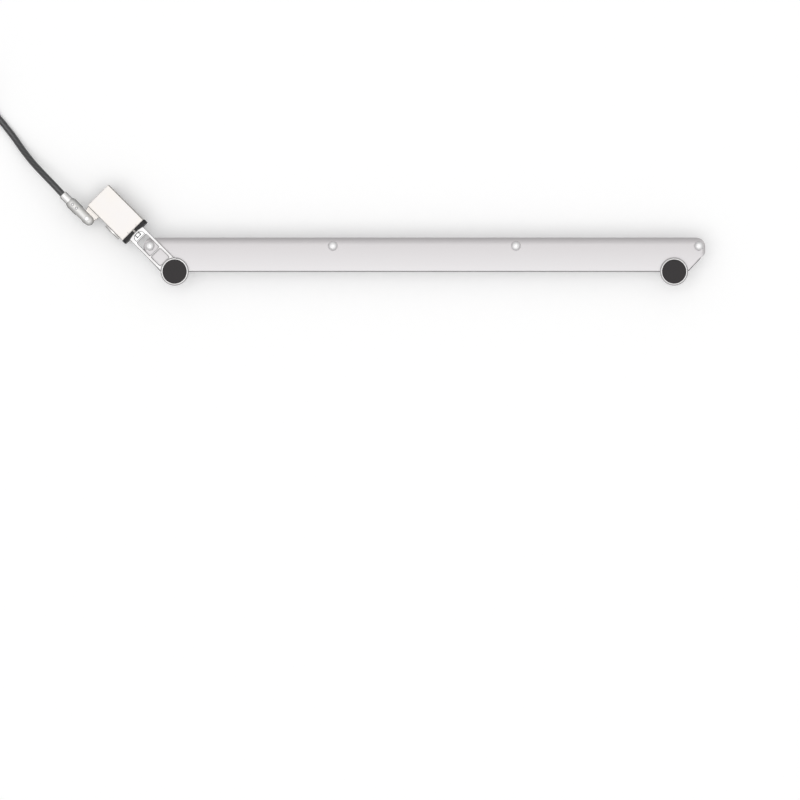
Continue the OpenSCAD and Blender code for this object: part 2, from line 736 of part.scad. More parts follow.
module foot_rivets() color(c_steel) at_feet() rotate_extrude()
    polygon([[0, 0], [foot_rivet_d / 2 - press_fit, 0],
        [foot_rivet_d / 2 - press_fit, pad_z - foot_rivet_head_h],
        [foot_rivet_head_d / 2 - press_fit, pad_z], [0, pad_z]]);

// ---- Arm with the security slot ----

// The end block's face towards the laptop, from the plate's corner down
function edge_face(n) = [for (i = [0:n])
    let (z = plate_t - (plate_t + arm_drop) * i / n,
         dip = z + laptop_edge_depth)
    [corner_u + laptop_edge_gap - laptop_edge_r + sqrt(pow(laptop_edge_r, 2) - pow(dip, 2)), z]];

// The arm's rounded end, seen from above
function arm_end(n) = [for (i = [0:n])
    let (v = arm_w * (i / n - 1 / 2))
    [arm_reach - arm_end_r + sqrt(pow(arm_end_r, 2) - pow(v, 2)), v]];

module arm_body() {
    steps = 8;
    sharp = [for (i = [0:steps]) i == 0 || i == steps ? arm_corner_r : 0];
    intersection() {
        rotate([90, 0, 0]) linear_extrude(arm_w + past, center = true)
            polygon(concat([[0, plate_t]], edge_face(6),
                [[arm_reach + past, -arm_drop], [arm_reach + past, arm_top], [0, arm_top]]));
        translate([0, 0, -arm_drop - past]) linear_extrude(arm_drop + arm_top + 2 * past)
            polygon(rounded(concat([[arm_start, -arm_w / 2]], arm_end(steps), [[arm_start, arm_w / 2]]),
                concat([0], sharp, [0])));
    }
}

module window(u0, u1) translate([0, 0, -arm_drop - past]) linear_extrude(arm_drop + arm_top + 2 * past)
    polygon(rounded_box([u0, -window_w / 2], [u1, window_w / 2], window_corner_r));

// Shallow recess over the room behind the slot. The round room opens into it and shows the
// T-bar's tip.
module tip_recess() translate([0, 0, recess_floor_z]) linear_extrude(arm_top + past - recess_floor_z)
    polygon([[recess_u, -recess_w / 2], [recess_u + recess_straight, -recess_w / 2],
        [wall_u, -recess_tip_w / 2], [wall_u, recess_tip_w / 2],
        [recess_u + recess_straight, recess_w / 2], [recess_u, recess_w / 2]]);

module security_slot() slab_u(wall_u - slot_room_len / 2, arm_reach + past,
    rounded_box([-slot_w / 2, slot_z - slot_h / 2], [slot_w / 2, slot_z + slot_h / 2], slot_corner_r));

module lock_arm() color(c_frame) lock_frame() {
    difference() {
        union() {
            cup_body();
            arm_body();
        }
        cup_hollow();
        window(near_window_u, bar_u);
        window(far_window_u, far_window_end);
        tip_recess();
        rod_u(wall_u - slot_room_len, wall_u, 0, slot_z, slot_room_r);
        security_slot();
    }
    block([bar_u + (window_bar - tenon_t) / 2, -tenon_w / 2, tenon_z],
        [bar_u + (window_bar + tenon_t) / 2, tenon_w / 2, plate_t + arm_t / 2]);
}

// ---- T-bar and collar ----

module t_bar() color(c_steel) lock_frame() {
    head_u0 = wall_u - bar_play - bar_head_t;
    difference() {
        union() {
            intersection() {
                block([head_u0, -bar_head_w / 2, slot_z - bar_head_l / 2],
                    [head_u0 + bar_head_t, bar_head_w / 2, slot_z + bar_head_l / 2]);
                rod_u(head_u0 - past, head_u0 + bar_head_t + past, 0, slot_z, bar_head_d / 2);
            }
            rod_u(head_u0 + bar_head_t / 2, bar_end, 0, slot_z, bar_neck_d / 2);
        }
        rod_z(slot_z - bar_neck_d, slot_z + bar_neck_d, bar_pin_u, 0, bar_pin_d / 2 + press_fit);
    }
}

module t_bar_pin() color(c_steel) lock_frame()
    rod_z(bar_pin_top - bar_pin_len, bar_pin_top, bar_pin_u, 0, bar_pin_d / 2);

module nose_collar() color(c_black) lock_frame() difference() {
    slab_u(collar_u, head_u, rounded_box([-head_v - collar_over, head_bottom - collar_under],
        [head_v + collar_over, collar_top], collar_corner_r));
    slab_u(collar_u - past, head_u + past, rounded_box([-collar_open_w / 2, slot_z - collar_open_h / 2],
        [collar_open_w / 2, slot_z + collar_open_h / 2], slot_corner_r));
    block([collar_u - past, -nib_w / 2 - seat_fit, nib_z - seat_fit],
        [head_u + past, nib_w / 2 + seat_fit, collar_top + past]);
}

// ---- Lock head ----

module lock_housing() color(c_white) lock_frame() difference() {
    union() {
        hull() for (u = [head_u + head_edge_r, head_end - head_edge_r], v = [-1, 1],
                z = [head_bottom + head_edge_r, head_top - head_edge_r])
            translate([u, v * (head_v - head_edge_r), z]) sphere(r = head_edge_r, $fn = 32);
        block([collar_u - nib_out, -nib_w / 2, nib_z],
            [head_u + head_edge_r + nib_out, nib_w / 2, collar_top]);
    }
    // Room of the locking gear, with the spring's channel behind it
    block([room_u, room_v0, cover_z - past], [room_end, room_front, room_top]);
    block([room_end - past, -spring_room, spring_z - spring_room],
        [spring_end, spring_room, spring_z + spring_room]);
    // Seat of the base cover and its rivets
    block([head_u + cover_inset, cover_inset - head_v, head_bottom - past],
        [head_end - cover_inset, head_v - cover_inset, cover_z]);
    at_cover_rivets() rod_z(cover_z - past, cover_z + cover_rivet_grip, 0, 0, cover_rivet_d / 2);
    // Nose: T-bar, cross pin, locking pins and witness holes
    rod_u(head_u - past, room_u + past, 0, slot_z, bar_neck_d / 2 + press_fit);
    rod_z(cover_z - past, bar_pin_top, bar_pin_u, 0, bar_pin_d / 2 + press_fit);
    for (v = [-lock_pin_v, lock_pin_v])
        rod_u(head_u - past, room_u + past, v, slot_z, lock_pin_d / 2 + running_fit);
    for (v = [-1, 1])
        rod_z(head_top - witness_d, head_top + past, head_u + witness_inset, v * witness_spread / 2,
            witness_d / 2);
    // Key cylinder and the pin that holds it
    rod_v(room_front - past, head_v + past, plug_u, plug_z, shell_r + press_fit);
    rod_u(head_u - past, shell_pin_end, shell_pin_v, shell_pin_z, shell_pin_d / 2 + press_fit);
    // Stem of the swivel lug and its pin
    block([pivot_u - stem_w / 2 - seat_fit, stem_v - seat_fit, link_z - stem_t / 2 - seat_fit],
        [pivot_u + stem_w / 2 + seat_fit, head_v + past, link_z + stem_t / 2 + seat_fit]);
    rod_z(cover_z - past, cover_z + lug_pin_len, pivot_u, lug_pin_v, lug_pin_d / 2 + press_fit);
}

module base_cover() color(c_white) lock_frame() difference() {
    translate([0, 0, head_bottom]) linear_extrude(cover_t)
        polygon(rounded_box([head_u + cover_inset + seat_fit, cover_inset - head_v + seat_fit],
            [head_end - cover_inset - seat_fit, head_v - cover_inset - seat_fit], cover_corner_r));
    at_cover_rivets() {
        rod_z(head_bottom - past, cover_z + past, 0, 0, cover_rivet_d / 2);
        rod_z(head_bottom - past, head_bottom + cover_rivet_head_h, 0, 0, cover_rivet_head_d / 2);
    }
}

module cover_rivets() color(c_steel) lock_frame() at_cover_rivets() {
    rod_z(head_bottom, cover_z + cover_rivet_grip, 0, 0, cover_rivet_d / 2 - press_fit);
    rod_z(head_bottom, head_bottom + cover_rivet_head_h, 0, 0, cover_rivet_head_d / 2 - press_fit);
}

// ---- Key cylinder ----

module cylinder_shell() color(c_brass) lock_frame() difference() {
    rod_v(shell_v0, shell_v1, plug_u, plug_z, shell_r);
    rod_v(shell_v0 - past, shell_v1 + past, plug_u, plug_z, bore_r);
    rod_v(face_v - running_fit, shell_v1 + past, plug_u, plug_z, face_r + running_fit);
    // Grooves for the wafers, one towards the arm and one downwards
    intersection() {
        rod_v(shell_v0 - past, face_v - 2 * running_fit, plug_u, plug_z, groove_r);
        union() {
            block([plug_u - shell_r, shell_v0 - past, plug_z - wafer_w / 2 - 3 * running_fit],
                [plug_u, face_v, plug_z + wafer_w / 2 + 3 * running_fit]);
            block([plug_u - wafer_w / 2 - 3 * running_fit, shell_v0 - past, plug_z - shell_r],
                [plug_u + wafer_w / 2 + 3 * running_fit, face_v, plug_z]);
        }
    }
    rod_u(head_u, shell_pin_end + past, shell_pin_v, shell_pin_z, shell_pin_d / 2 + press_fit);
}

module cylinder_rim() color(c_nickel) lock_frame() translate([plug_u, head_v, plug_z])
    rotate([-90, 0, 0]) rotate_extrude()
    polygon([[shell_r + press_fit, 0], [rim_d / 2, 0], [rim_d / 2, rim_t - rim_chamfer],
        [rim_d / 2 - rim_chamfer, rim_t], [shell_r + press_fit, rim_t]]);

module cylinder_pin() color(c_steel) lock_frame()
    rod_u(shell_pin_u0, shell_pin_end, shell_pin_v, shell_pin_z, shell_pin_d / 2);

module key_plug() color(c_brass) lock_frame() difference() {
    union() {
        rod_v(plug_v0, plug_v1, plug_u, plug_z, plug_r);
        rod_v(face_v, plug_v1, plug_u, plug_z, face_r);
    }
    block([plug_u - keyway_w / 2, plug_v0 + keyway_end, plug_z - keyway_h / 2],
        [plug_u + keyway_w / 2, plug_v1 + past, plug_z + keyway_h / 2]);
    at_wafers() translate([-plug_d, -wafer_t / 2 - running_fit, -wafer_w / 2 - running_fit])
        cube([2 * plug_d, wafer_t + 2 * running_fit, wafer_w + 2 * running_fit]);
    rod_v(plug_v0 - past, plug_v0 + cam_screw_grip, plug_u, plug_z, cam_screw_d / 2);
}

module wafers() color(c_brass) lock_frame() at_wafers() difference() {
    intersection() {
        rod_v(-wafer_t / 2, wafer_t / 2, 0, 0, wafer_r);
        cube([plug_d, wafer_t, wafer_w], center = true);
    }
    cube([wafer_window[0], wafer_t + past, wafer_window[1]], center = true);
}

// ---- Locking gear ----

module drive_cam() color(c_steel) lock_frame() {
    difference() {
        rod_v(cam_v, plug_v0, plug_u, plug_z, cam_d / 2);
        rod_v(cam_v - past, plug_v0 + past, plug_u, plug_z, cam_screw_d / 2);
    }
    rod_v(tail_v0 + crank_fit, cam_v + cam_t / 2, crank_u, crank_z, crank_pin_d / 2);
}

module cam_screw() color(c_steel) lock_frame() difference() {
    union() {
        rod_v(screw_v, cam_v, plug_u, plug_z, cam_screw_head_d / 2);
        rod_v(screw_v, plug_v0 + cam_screw_grip, plug_u, plug_z, cam_screw_d / 2 - press_fit);
    }
    block([plug_u - cam_screw_head_d, screw_v - past, plug_z - driver_slot / 2],
        [plug_u + cam_screw_head_d, screw_v + cam_screw_head_h / 2, plug_z + driver_slot / 2]);
}

module pin_carrier() color(c_steel) lock_frame() difference() {
    union() {
        block([bridge_u, tail_v0, slot_z - bridge_h / 2],
            [bridge_end, bridge_front, slot_z + bridge_h / 2]);
        block([crank_u - tail_w / 2, tail_v0, tail_low],
            [crank_u + tail_w / 2, tail_v1, slot_z + bridge_h / 2]);
        rod_u(bridge_end - past, bridge_end + peg_len, 0, spring_z, peg_r);
    }
    block([crank_u - crank_pin_d / 2 - crank_fit, tail_v0 - past, tail_low - past],
        [crank_u + crank_pin_d / 2 + crank_fit, tail_v1 + past, fork_top]);
    for (v = [-lock_pin_v, lock_pin_v])
        rod_u(bridge_u - past, bridge_u + pin_seat, v, slot_z, lock_pin_d / 2);
}

module locking_pins() color(c_steel) lock_frame() for (v = [-lock_pin_v, lock_pin_v])
    rod_u(lock_pin_u, bridge_u + pin_seat, v, slot_z, lock_pin_d / 2 - press_fit);

module carrier_spring() color(c_steel) lock_frame() {
    coil_r = (spring_d - spring_wire) / 2;
    steps = spring_turns * spring_steps;
    free = spring_len - spring_wire;
    tube([for (i = [0:steps])
            let (a = 360 * i / spring_steps)
            [bridge_end + spring_wire / 2 + free * i / steps, coil_r * cos(a), spring_z + coil_r * sin(a)]],
        spring_wire / 2, 6, [1, 0, 0]);
}

// ---- Swivel ----

module swivel_lug() color(c_nickel) lock_frame() difference() {
    union() {
        translate([0, 0, link_z - lug_t / 2]) linear_extrude(lug_t) hull() {
            translate([pivot_u - lug_w / 2, head_v]) square([lug_w, past]);
            translate([pivot_u, pivot_v]) circle(r = lug_eye_r);
        }
        block([pivot_u - stem_w / 2, stem_v, link_z - stem_t / 2],
            [pivot_u + stem_w / 2, head_v, link_z + stem_t / 2]);
    }
    rod_z(link_z - lug_t, link_z + lug_t, pivot_u, pivot_v, pivot_d / 2 + running_fit);
    rod_z(link_z - stem_t, link_z + stem_t, pivot_u, lug_pin_v, lug_pin_d / 2);
}

module lug_pin() color(c_steel) lock_frame()
    rod_z(cover_z, cover_z + lug_pin_len, pivot_u, lug_pin_v, lug_pin_d / 2 - press_fit);

module swivel_link() color(c_nickel) lock_frame() translate([pivot_u, pivot_v, link_z]) difference() {
    union() {
        translate([-link_nose, 0, 0]) sphere(r = link_r);
        rod_u(-link_nose, link_tail - link_taper, 0, 0, link_r);
        translate([link_tail - link_taper, 0, 0]) rotate([0, 90, 0])
            cylinder(h = link_taper, r1 = link_r, d2 = link_end_d);
    }
    block([-link_nose - link_r - past, -link_r - past, -fork_gap], [fork_depth, link_r + past, fork_gap]);
    rod_z(-link_r - past, link_r + past, 0, 0, pivot_d / 2);
    rod_u(ferrule_start, link_tail + past, 0, 0, ferrule_stem_d / 2);
    for (i = [0, 1]) rod_z(-link_r - past, link_r + past, clamp_rivet_first + i * clamp_rivet_gap, 0,
        clamp_rivet_d / 2);
}

// Rivet with domed ends, upright through a round body
module through_rivet(d, dome_r) intersection() {
    rod_z(-dome_r - past, dome_r + past, 0, 0, d / 2 - press_fit);
    sphere(r = dome_r);
}

module pivot_rivet() color(c_steel) lock_frame()
    translate([pivot_u, pivot_v, link_z]) through_rivet(pivot_d, pivot_dome_r);

module clamp_rivets() color(c_steel) lock_frame()
    at_clamp_rivets() through_rivet(clamp_rivet_d, pivot_dome_r - press_fit);

module ferrule() color(c_nickel) lock_frame() difference() {
    translate([0, pivot_v, link_z]) rotate([0, 90, 0]) rotate_extrude()
        polygon([[0, ferrule_u], [ferrule_stem_d / 2 - press_fit, ferrule_u],
            [ferrule_stem_d / 2 - press_fit, link_end], [ferrule_d / 2, link_end],
            [ferrule_d / 2, ferrule_end - ferrule_edge], [ferrule_d / 2 - ferrule_edge / 2, ferrule_end],
            [0, ferrule_end]]);
    at_clamp_rivets() rod_z(-ferrule_stem_d, ferrule_stem_d, 0, 0, clamp_rivet_d / 2);
}

// ---- Cable ----

module security_cable() color(c_sheath) tube(concat([cable_start], cable_route), cable_r, cable_sides);

module cable_coil() color(c_sheath) translate([coil_centre[0], coil_centre[1], 0]) difference() {
    rotate_extrude() polygon(coil_section);
    rotate([0, 0, tie_angle]) block([tie_inner - past, -tie_w / 2, floor_z - past],
        [coil_section[1][0] + past, tie_w / 2, tie_section[0][1]]);
}

// Strap around the bundle of turns, closed under it
module coil_tie() color(c_black) translate([coil_centre[0], coil_centre[1], 0])
    rotate([90, 0, tie_angle]) translate([0, 0, -tie_w / 2]) linear_extrude(tie_w) difference() {
        polygon([for (p = tie_section)
            [p[0] + tie_t * sign(p[0] - tie_middle[0]), p[1] + tie_t * sign(p[1] - tie_middle[1])]]);
        polygon(tie_section);
    }

module cable_tail() color(c_sheath) tube(tail_route, cable_r, cable_sides);

module end_sleeve() color(c_nickel) translate([sleeve_end[0] - leg_gap, sleeve_end[1], sleeve_end[2]])
    rotate([90, 0, 0]) linear_extrude(sleeve_len)
    polygon(rounded_box([-sleeve_half, -cable_r - sleeve_wall], [sleeve_half, cable_r + sleeve_wall],
        cable_r));

// Right half of the end loop, from the crimp sleeve to the tip, around the loop's middle
function half_loop() = concat(
    [for (i = [0:leg_steps - 1])
        let (t = i / leg_steps)
        [leg_gap + (loop_r * cos(loop_angle) - leg_gap) * t,
            loop_out + (loop_r * sin(loop_angle) - loop_out) * t,
            (sleeve_end[2] - loop_centre[2]) * (1 - t)]],
    [for (i = [0:loop_steps / 2])
        let (a = loop_angle - (loop_angle + 90) * 2 * i / loop_steps)
        [loop_r * cos(a), loop_r * sin(a), 0]]);

module end_loop() color(c_sheath) translate(loop_centre) {
    half = half_loop();
    tip = len(half) - 1;
    tube(concat(half, [for (i = [tip - 1:-1:0]) [-half[i][0], half[i][1], half[i][2]]]), cable_r, 8);
}

bracket_plate();
case_screws();
foot_ring();
foot_pad_left();
foot_pad_right();
foot_rivets();
lock_arm();
nose_collar();
t_bar();
t_bar_pin();
lock_housing();
base_cover();
cover_rivets();
cylinder_shell();
cylinder_rim();
cylinder_pin();
key_plug();
wafers();
drive_cam();
cam_screw();
pin_carrier();
locking_pins();
carrier_spring();
swivel_lug();
lug_pin();
swivel_link();
pivot_rivet();
clamp_rivets();
ferrule();
security_cable();
cable_coil();
coil_tie();
cable_tail();
end_sleeve();
end_loop();
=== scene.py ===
"""Looks of a laptop cable lock: bracket plate, lock arm, lock head, swivel link and coiled cable.

Metres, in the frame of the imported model. +Z points away from the laptop's underside and +Y away
from its hinge edge. The arm and the head have their own axes: u along the arm, away from the
foot, v to the side of the key, and z as in the whole.
"""
import logging
import math
from dataclasses import dataclass, field
from enum import Enum
from typing import Any, Callable, Sequence

import bmesh
import bpy
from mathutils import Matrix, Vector


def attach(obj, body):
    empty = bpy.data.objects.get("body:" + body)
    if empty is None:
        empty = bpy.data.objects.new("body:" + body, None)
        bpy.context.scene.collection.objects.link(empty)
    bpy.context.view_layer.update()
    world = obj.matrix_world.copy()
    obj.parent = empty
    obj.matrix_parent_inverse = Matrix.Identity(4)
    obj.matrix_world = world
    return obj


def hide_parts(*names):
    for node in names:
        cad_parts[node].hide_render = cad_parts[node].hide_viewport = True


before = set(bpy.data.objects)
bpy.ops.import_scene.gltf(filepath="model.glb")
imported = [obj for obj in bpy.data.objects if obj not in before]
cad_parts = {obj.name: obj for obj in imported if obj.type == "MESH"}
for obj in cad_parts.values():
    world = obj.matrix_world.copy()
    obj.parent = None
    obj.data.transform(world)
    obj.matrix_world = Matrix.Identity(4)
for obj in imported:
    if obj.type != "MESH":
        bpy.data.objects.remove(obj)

LOG = logging.getLogger("cable_lock")
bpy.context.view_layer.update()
MM = 0.001
HALF_ROOT = math.sqrt(0.5)
FOOT = Vector((-154.75, -15.9, 0.0))
FLOOR_Z = -18.0


class Body(Enum):
    """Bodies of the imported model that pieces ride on."""

    ROOT = "root"
    KEY_PLUG = "key_plug"
    WAFERS = "wafers"
    PIN_CARRIER = "pin_carrier"
    LINK = "swivel_link"


class Axis(Enum):
    """Directions of the lock's own axes in the row frame."""

    U = (-HALF_ROOT, HALF_ROOT, 0.0)
    V = (-HALF_ROOT, -HALF_ROOT, 0.0)

    @property
    def vector(self) -> Vector:
        """The direction as a vector."""
        return Vector(self.value)


# ---- Places and colours ----


def lock_point(u: float, v: float, z: float) -> Vector:
    """Give the place of a point of the lock's own axes.

    Args:
        u: millimetres along the arm.
        v: millimetres to the key's side.
        z: millimetres away from the laptop's underside.

    Returns:
        The point in the row frame, in millimetres.
    """
    return Vector((FOOT.x - (u + v) * HALF_ROOT, FOOT.y + (u - v) * HALF_ROOT, z))


def lock_place(point: Vector) -> tuple[float, float]:
    """Give how far a point, in millimetres, lies along the arm and to the key's side."""
    return (point - FOOT).dot(Axis.U.vector), (point - FOOT).dot(Axis.V.vector)


def linear(hex_colour: str) -> tuple[float, float, float, float]:
    """Turn an sRGB hex colour to linear.

    Args:
        hex_colour: six hex digits, without a leading sign.

    Returns:
        Red, green, blue and an alpha of 1.
    """
    values = [int(hex_colour[i:i + 2], 16) / 255 for i in (0, 2, 4)]
    red, green, blue = (c / 12.92 if c <= 0.04045 else ((c + 0.055) / 1.055) ** 2.4 for c in values)
    return red, green, blue, 1.0


def add_node(tree: bpy.types.NodeTree, kind: str, values: dict[Any, Any] | None = None,
             links: dict[Any, bpy.types.NodeSocket] | None = None,
             **settings: Any) -> bpy.types.Node:
    """Add a node to a shader or geometry tree.

    Args:
        tree: the tree that gets the node.
        kind: the node's type name.
        values: default values by input name or number.
        links: output sockets to link, by input name or number.
        settings: properties of the node itself.

    Returns:
        The new node.
    """
    node = tree.nodes.new(kind)
    for name, value in settings.items():
        setattr(node, name, value)
    for name, value in (values or {}).items():
        node.inputs[name].default_value = value
    for name, source in (links or {}).items():
        tree.links.new(source, node.inputs[name])
    return node


def smooth_step(t: float) -> float:
    """Ease from 0 to 1."""
    t = min(max(t, 0.0), 1.0)
    return t * t * (3 - 2 * t)


# ---- Finishes ----


@dataclass(frozen=True)
class Finish:
    """One finish: a Principled surface, with a pattern that a subclass adds.

    Attributes:
        name: the material's name.
        slot: the record's material slot.
        colour: sRGB hex colour.
        metallic: 1 for bare metal, 0 for plastic and paint.
        roughness: the shader's roughness.
    """

    name: str
    slot: str
    colour: str
    metallic: float = 0.0
    roughness: float = 0.5

    def material(self) -> bpy.types.Material:
        """Give the finish's material, and build it the first time."""
        found = bpy.data.materials.get(self.name)
        if found:
            return found
        made = bpy.data.materials.new(self.name)
        made.use_nodes = True
        tree = made.node_tree
        shader = tree.nodes["Principled BSDF"]
        shader.inputs["Base Color"].default_value = linear(self.colour)
        shader.inputs["Metallic"].default_value = self.metallic
        shader.inputs["Roughness"].default_value = self.roughness
        made.diffuse_color = linear(self.colour)
        self.pattern(tree, shader)
        return made

    def pattern(self, tree: bpy.types.NodeTree, shader: bpy.types.Node) -> None:
        """Add the finish's own pattern.

        Args:
            tree: the material's tree.
            shader: its Principled node.
        """

    def blend(self, tree: bpy.types.NodeTree, shader: bpy.types.Node,
              share: bpy.types.NodeSocket, first: str, second: str) -> None:
        """Mix two sRGB hex colours, by a share that goes from the first to the second."""
        mix = add_node(tree, "ShaderNodeMix", {6: linear(first), 7: linear(second)}, {0: share},
                       data_type="RGBA")
        tree.links.new(mix.outputs[2], shader.inputs["Base Color"])

    def emboss(self, tree: bpy.types.NodeTree, shader: bpy.types.Node,
               height: bpy.types.NodeSocket, depth_mm: float, strength: float = 0.5) -> None:
        """Raise the surface by a height that goes from 0 to 1."""
        bump = add_node(tree, "ShaderNodeBump", {"Strength": strength, "Distance": depth_mm * MM},
                        {"Height": height})
        tree.links.new(bump.outputs[0], shader.inputs["Normal"])

    def grain(self, tree: bpy.types.NodeTree, shader: bpy.types.Node, size_mm: float,
              depth_mm: float, spread: float, stretch: Vector | None = None) -> bpy.types.Node:
        """Add a grain that raises the surface and varies its roughness.

        Args:
            tree: the material's tree.
            shader: its Principled node.
            size_mm: width of one grain.
            depth_mm: height of the grains.
            spread: how far the roughness goes up and down.
            stretch: direction across which the grain is squeezed into grooves.

        Returns:
            The noise node, for what else follows the grain.
        """
        place = add_node(tree, "ShaderNodeTexCoord").outputs["Object"]
        if stretch is not None:
            across = add_node(tree, "ShaderNodeVectorMath", {1: stretch}, {0: place},
                              operation="DOT_PRODUCT").outputs["Value"]
            place = add_node(tree, "ShaderNodeCombineXYZ", links={"X": across}).outputs[0]
        noise = add_node(tree, "ShaderNodeTexNoise",
                         {"Scale": 0.5 / (size_mm * MM), "Detail": 3.0, "Roughness": 0.6},
                         {"Vector": place})
        rough = add_node(tree, "ShaderNodeMapRange",
                         {"From Min": 0.3, "From Max": 0.7, "To Min": self.roughness - spread,
                          "To Max": self.roughness + spread}, {"Value": noise.outputs[0]})
        tree.links.new(rough.outputs[0], shader.inputs["Roughness"])
        self.emboss(tree, shader, noise.outputs[0], depth_mm)
        return noise

    def mottle(self, tree: bpy.types.NodeTree, shader: bpy.types.Node, other: str,
               size_mm: float) -> None:
        """Let the colour drift towards another one in large soft patches.

        Args:
            tree: the material's tree.
            shader: its Principled node.
            other: the second sRGB hex colour.
            size_mm: size of the patches.
        """
        place = add_node(tree, "ShaderNodeTexCoord").outputs["Object"]
        noise = add_node(tree, "ShaderNodeTexNoise", {"Scale": 1 / (size_mm * MM), "Detail": 2.0},
                         {"Vector": place})
        share = add_node(tree, "ShaderNodeMapRange", {"From Min": 0.35, "From Max": 0.65},
                         {"Value": noise.outputs[0]})
        self.blend(tree, shader, share.outputs[0], self.colour, other)


@dataclass(frozen=True)
class AnodisedSheet(Finish):
    """Bead-blasted, clear anodised aluminium sheet: a soft satin sheen without any line in it."""

    # Painted shade: the rear colour, at the rolled rear edge, is darker than the front one, and the
    # colour ramps between them.
    painted_shade_rear: str = "c1bebf"
    front: str = "cecccd"
    bend_mm: float = 2.0
    flat_mm: float = -15.0

    def pattern(self, tree: bpy.types.NodeTree, shader: bpy.types.Node) -> None:
        """Paint shade on the sheet, a little darker towards its rolled edge, and add the blasted
        grain.
        """
        place = add_node(tree, "ShaderNodeTexCoord").outputs["Object"]
        parts = add_node(tree, "ShaderNodeSeparateXYZ", links={0: place})
        across = add_node(tree, "ShaderNodeMapRange",
                          {"From Min": self.bend_mm * MM, "From Max": self.flat_mm * MM},
                          {"Value": parts.outputs[1]})
        self.blend(tree, shader, across.outputs[0], self.painted_shade_rear, self.front)
        # Blasted grains are 0.05 mm wide; they are drawn at 0.3 mm so that they show
        self.grain(tree, shader, 0.3, 0.004, 0.05)


@dataclass(frozen=True)
class SprayedLacquer(Finish):
    """Zinc die-casting under a light silver lacquer: even, slightly pebbled and satin."""

    def pattern(self, tree: bpy.types.NodeTree, shader: bpy.types.Node) -> None:
        """Add the lacquer's pebble and a faint drift of its colour."""
        self.mottle(tree, shader, "cfcdcd", 9)
        self.grain(tree, shader, 0.35, 0.006, 0.05)
        shader.inputs["Coat Weight"].default_value = 0.15
        shader.inputs["Coat Roughness"].default_value = 0.3


@dataclass(frozen=True)
class PowderCoat(Finish):
    """Powder coat on a zinc casting: a matt gloss broken up by fine orange peel."""

    def pattern(self, tree: bpy.types.NodeTree, shader: bpy.types.Node) -> None:
        """Add the orange peel and a warm drift of the white."""
        self.mottle(tree, shader, "fdf8f3", 14)
        # Real orange peel has cells of 0.6 mm
        self.grain(tree, shader, 0.6, 0.012, 0.06)


@dataclass(frozen=True)
class MouldedPolymer(Finish):
    """Injection-moulded nylon or rubber: spark-eroded grain that scatters the light."""

    grain_mm: float = 0.25
    depth_mm: float = 0.02
    fleck: float = 0.12

    def pattern(self, tree: bpy.types.NodeTree, shader: bpy.types.Node) -> None:
        """Add the mould's grain, with tips that are scuffed a little lighter."""
        noise = self.grain(tree, shader, self.grain_mm, self.depth_mm, 0.08)
        lighter = add_node(tree, "ShaderNodeMapRange",
                           {"From Min": 0.35, "From Max": 0.75, "To Max": self.fleck},
                           {"Value": noise.outputs[0]})
        self.blend(tree, shader, lighter.outputs[0], self.colour, "777475")


@dataclass(frozen=True)
class TurnedMetal(Finish):
    """Metal turned on a lathe: fine rings around the axis that draw out its highlights."""

    axis: Axis = Axis.U
    groove_mm: float = 0.12
    depth_mm: float = 0.004

    def pattern(self, tree: bpy.types.NodeTree, shader: bpy.types.Node) -> None:
        """Add the tool's rings, drawn at 0.12 mm so that they show."""
        self.grain(tree, shader, self.groove_mm, self.depth_mm, 0.06, self.axis.vector)


@dataclass(frozen=True)
class CastMetal(Finish):
    """Metal stamped, drawn or tumbled smooth: cloudy sheen with no direction."""

    grain_mm: float = 0.5

    def pattern(self, tree: bpy.types.NodeTree, shader: bpy.types.Node) -> None:
        """Add the tumbled clouding."""
        self.grain(tree, shader, self.grain_mm, 0.0008, 0.04)


@dataclass(frozen=True)
class PaintedShadePlating(Finish):
    """Barrel-plated nickel, with painted shade: the written colour on faces that lie up, going to a
    darker flank colour down the flanks.
    """

    # Painted shade: the colour goes towards the darker flank colour as a face turns from up.
    painted_shade_flank: str = "9a9998"
    shade_from: float = 0.45
    lit_from: float = 0.97
    grain_mm: float = 0.5

    def pattern(self, tree: bpy.types.NodeTree, shader: bpy.types.Node) -> None:
        """Paint shade by how far a face leans: darker down the flanks, the written colour on faces
        that lie up; and cloud it.
        """
        normal = add_node(tree, "ShaderNodeNewGeometry").outputs["Normal"]
        parts = add_node(tree, "ShaderNodeSeparateXYZ", links={0: normal})
        share = add_node(tree, "ShaderNodeMapRange",
                         {"From Min": self.shade_from, "From Max": self.lit_from},
                         {"Value": parts.outputs[2]})
        self.blend(tree, shader, share.outputs[0], self.painted_shade_flank, self.colour)
        self.grain(tree, shader, self.grain_mm, 0.0008, 0.04)


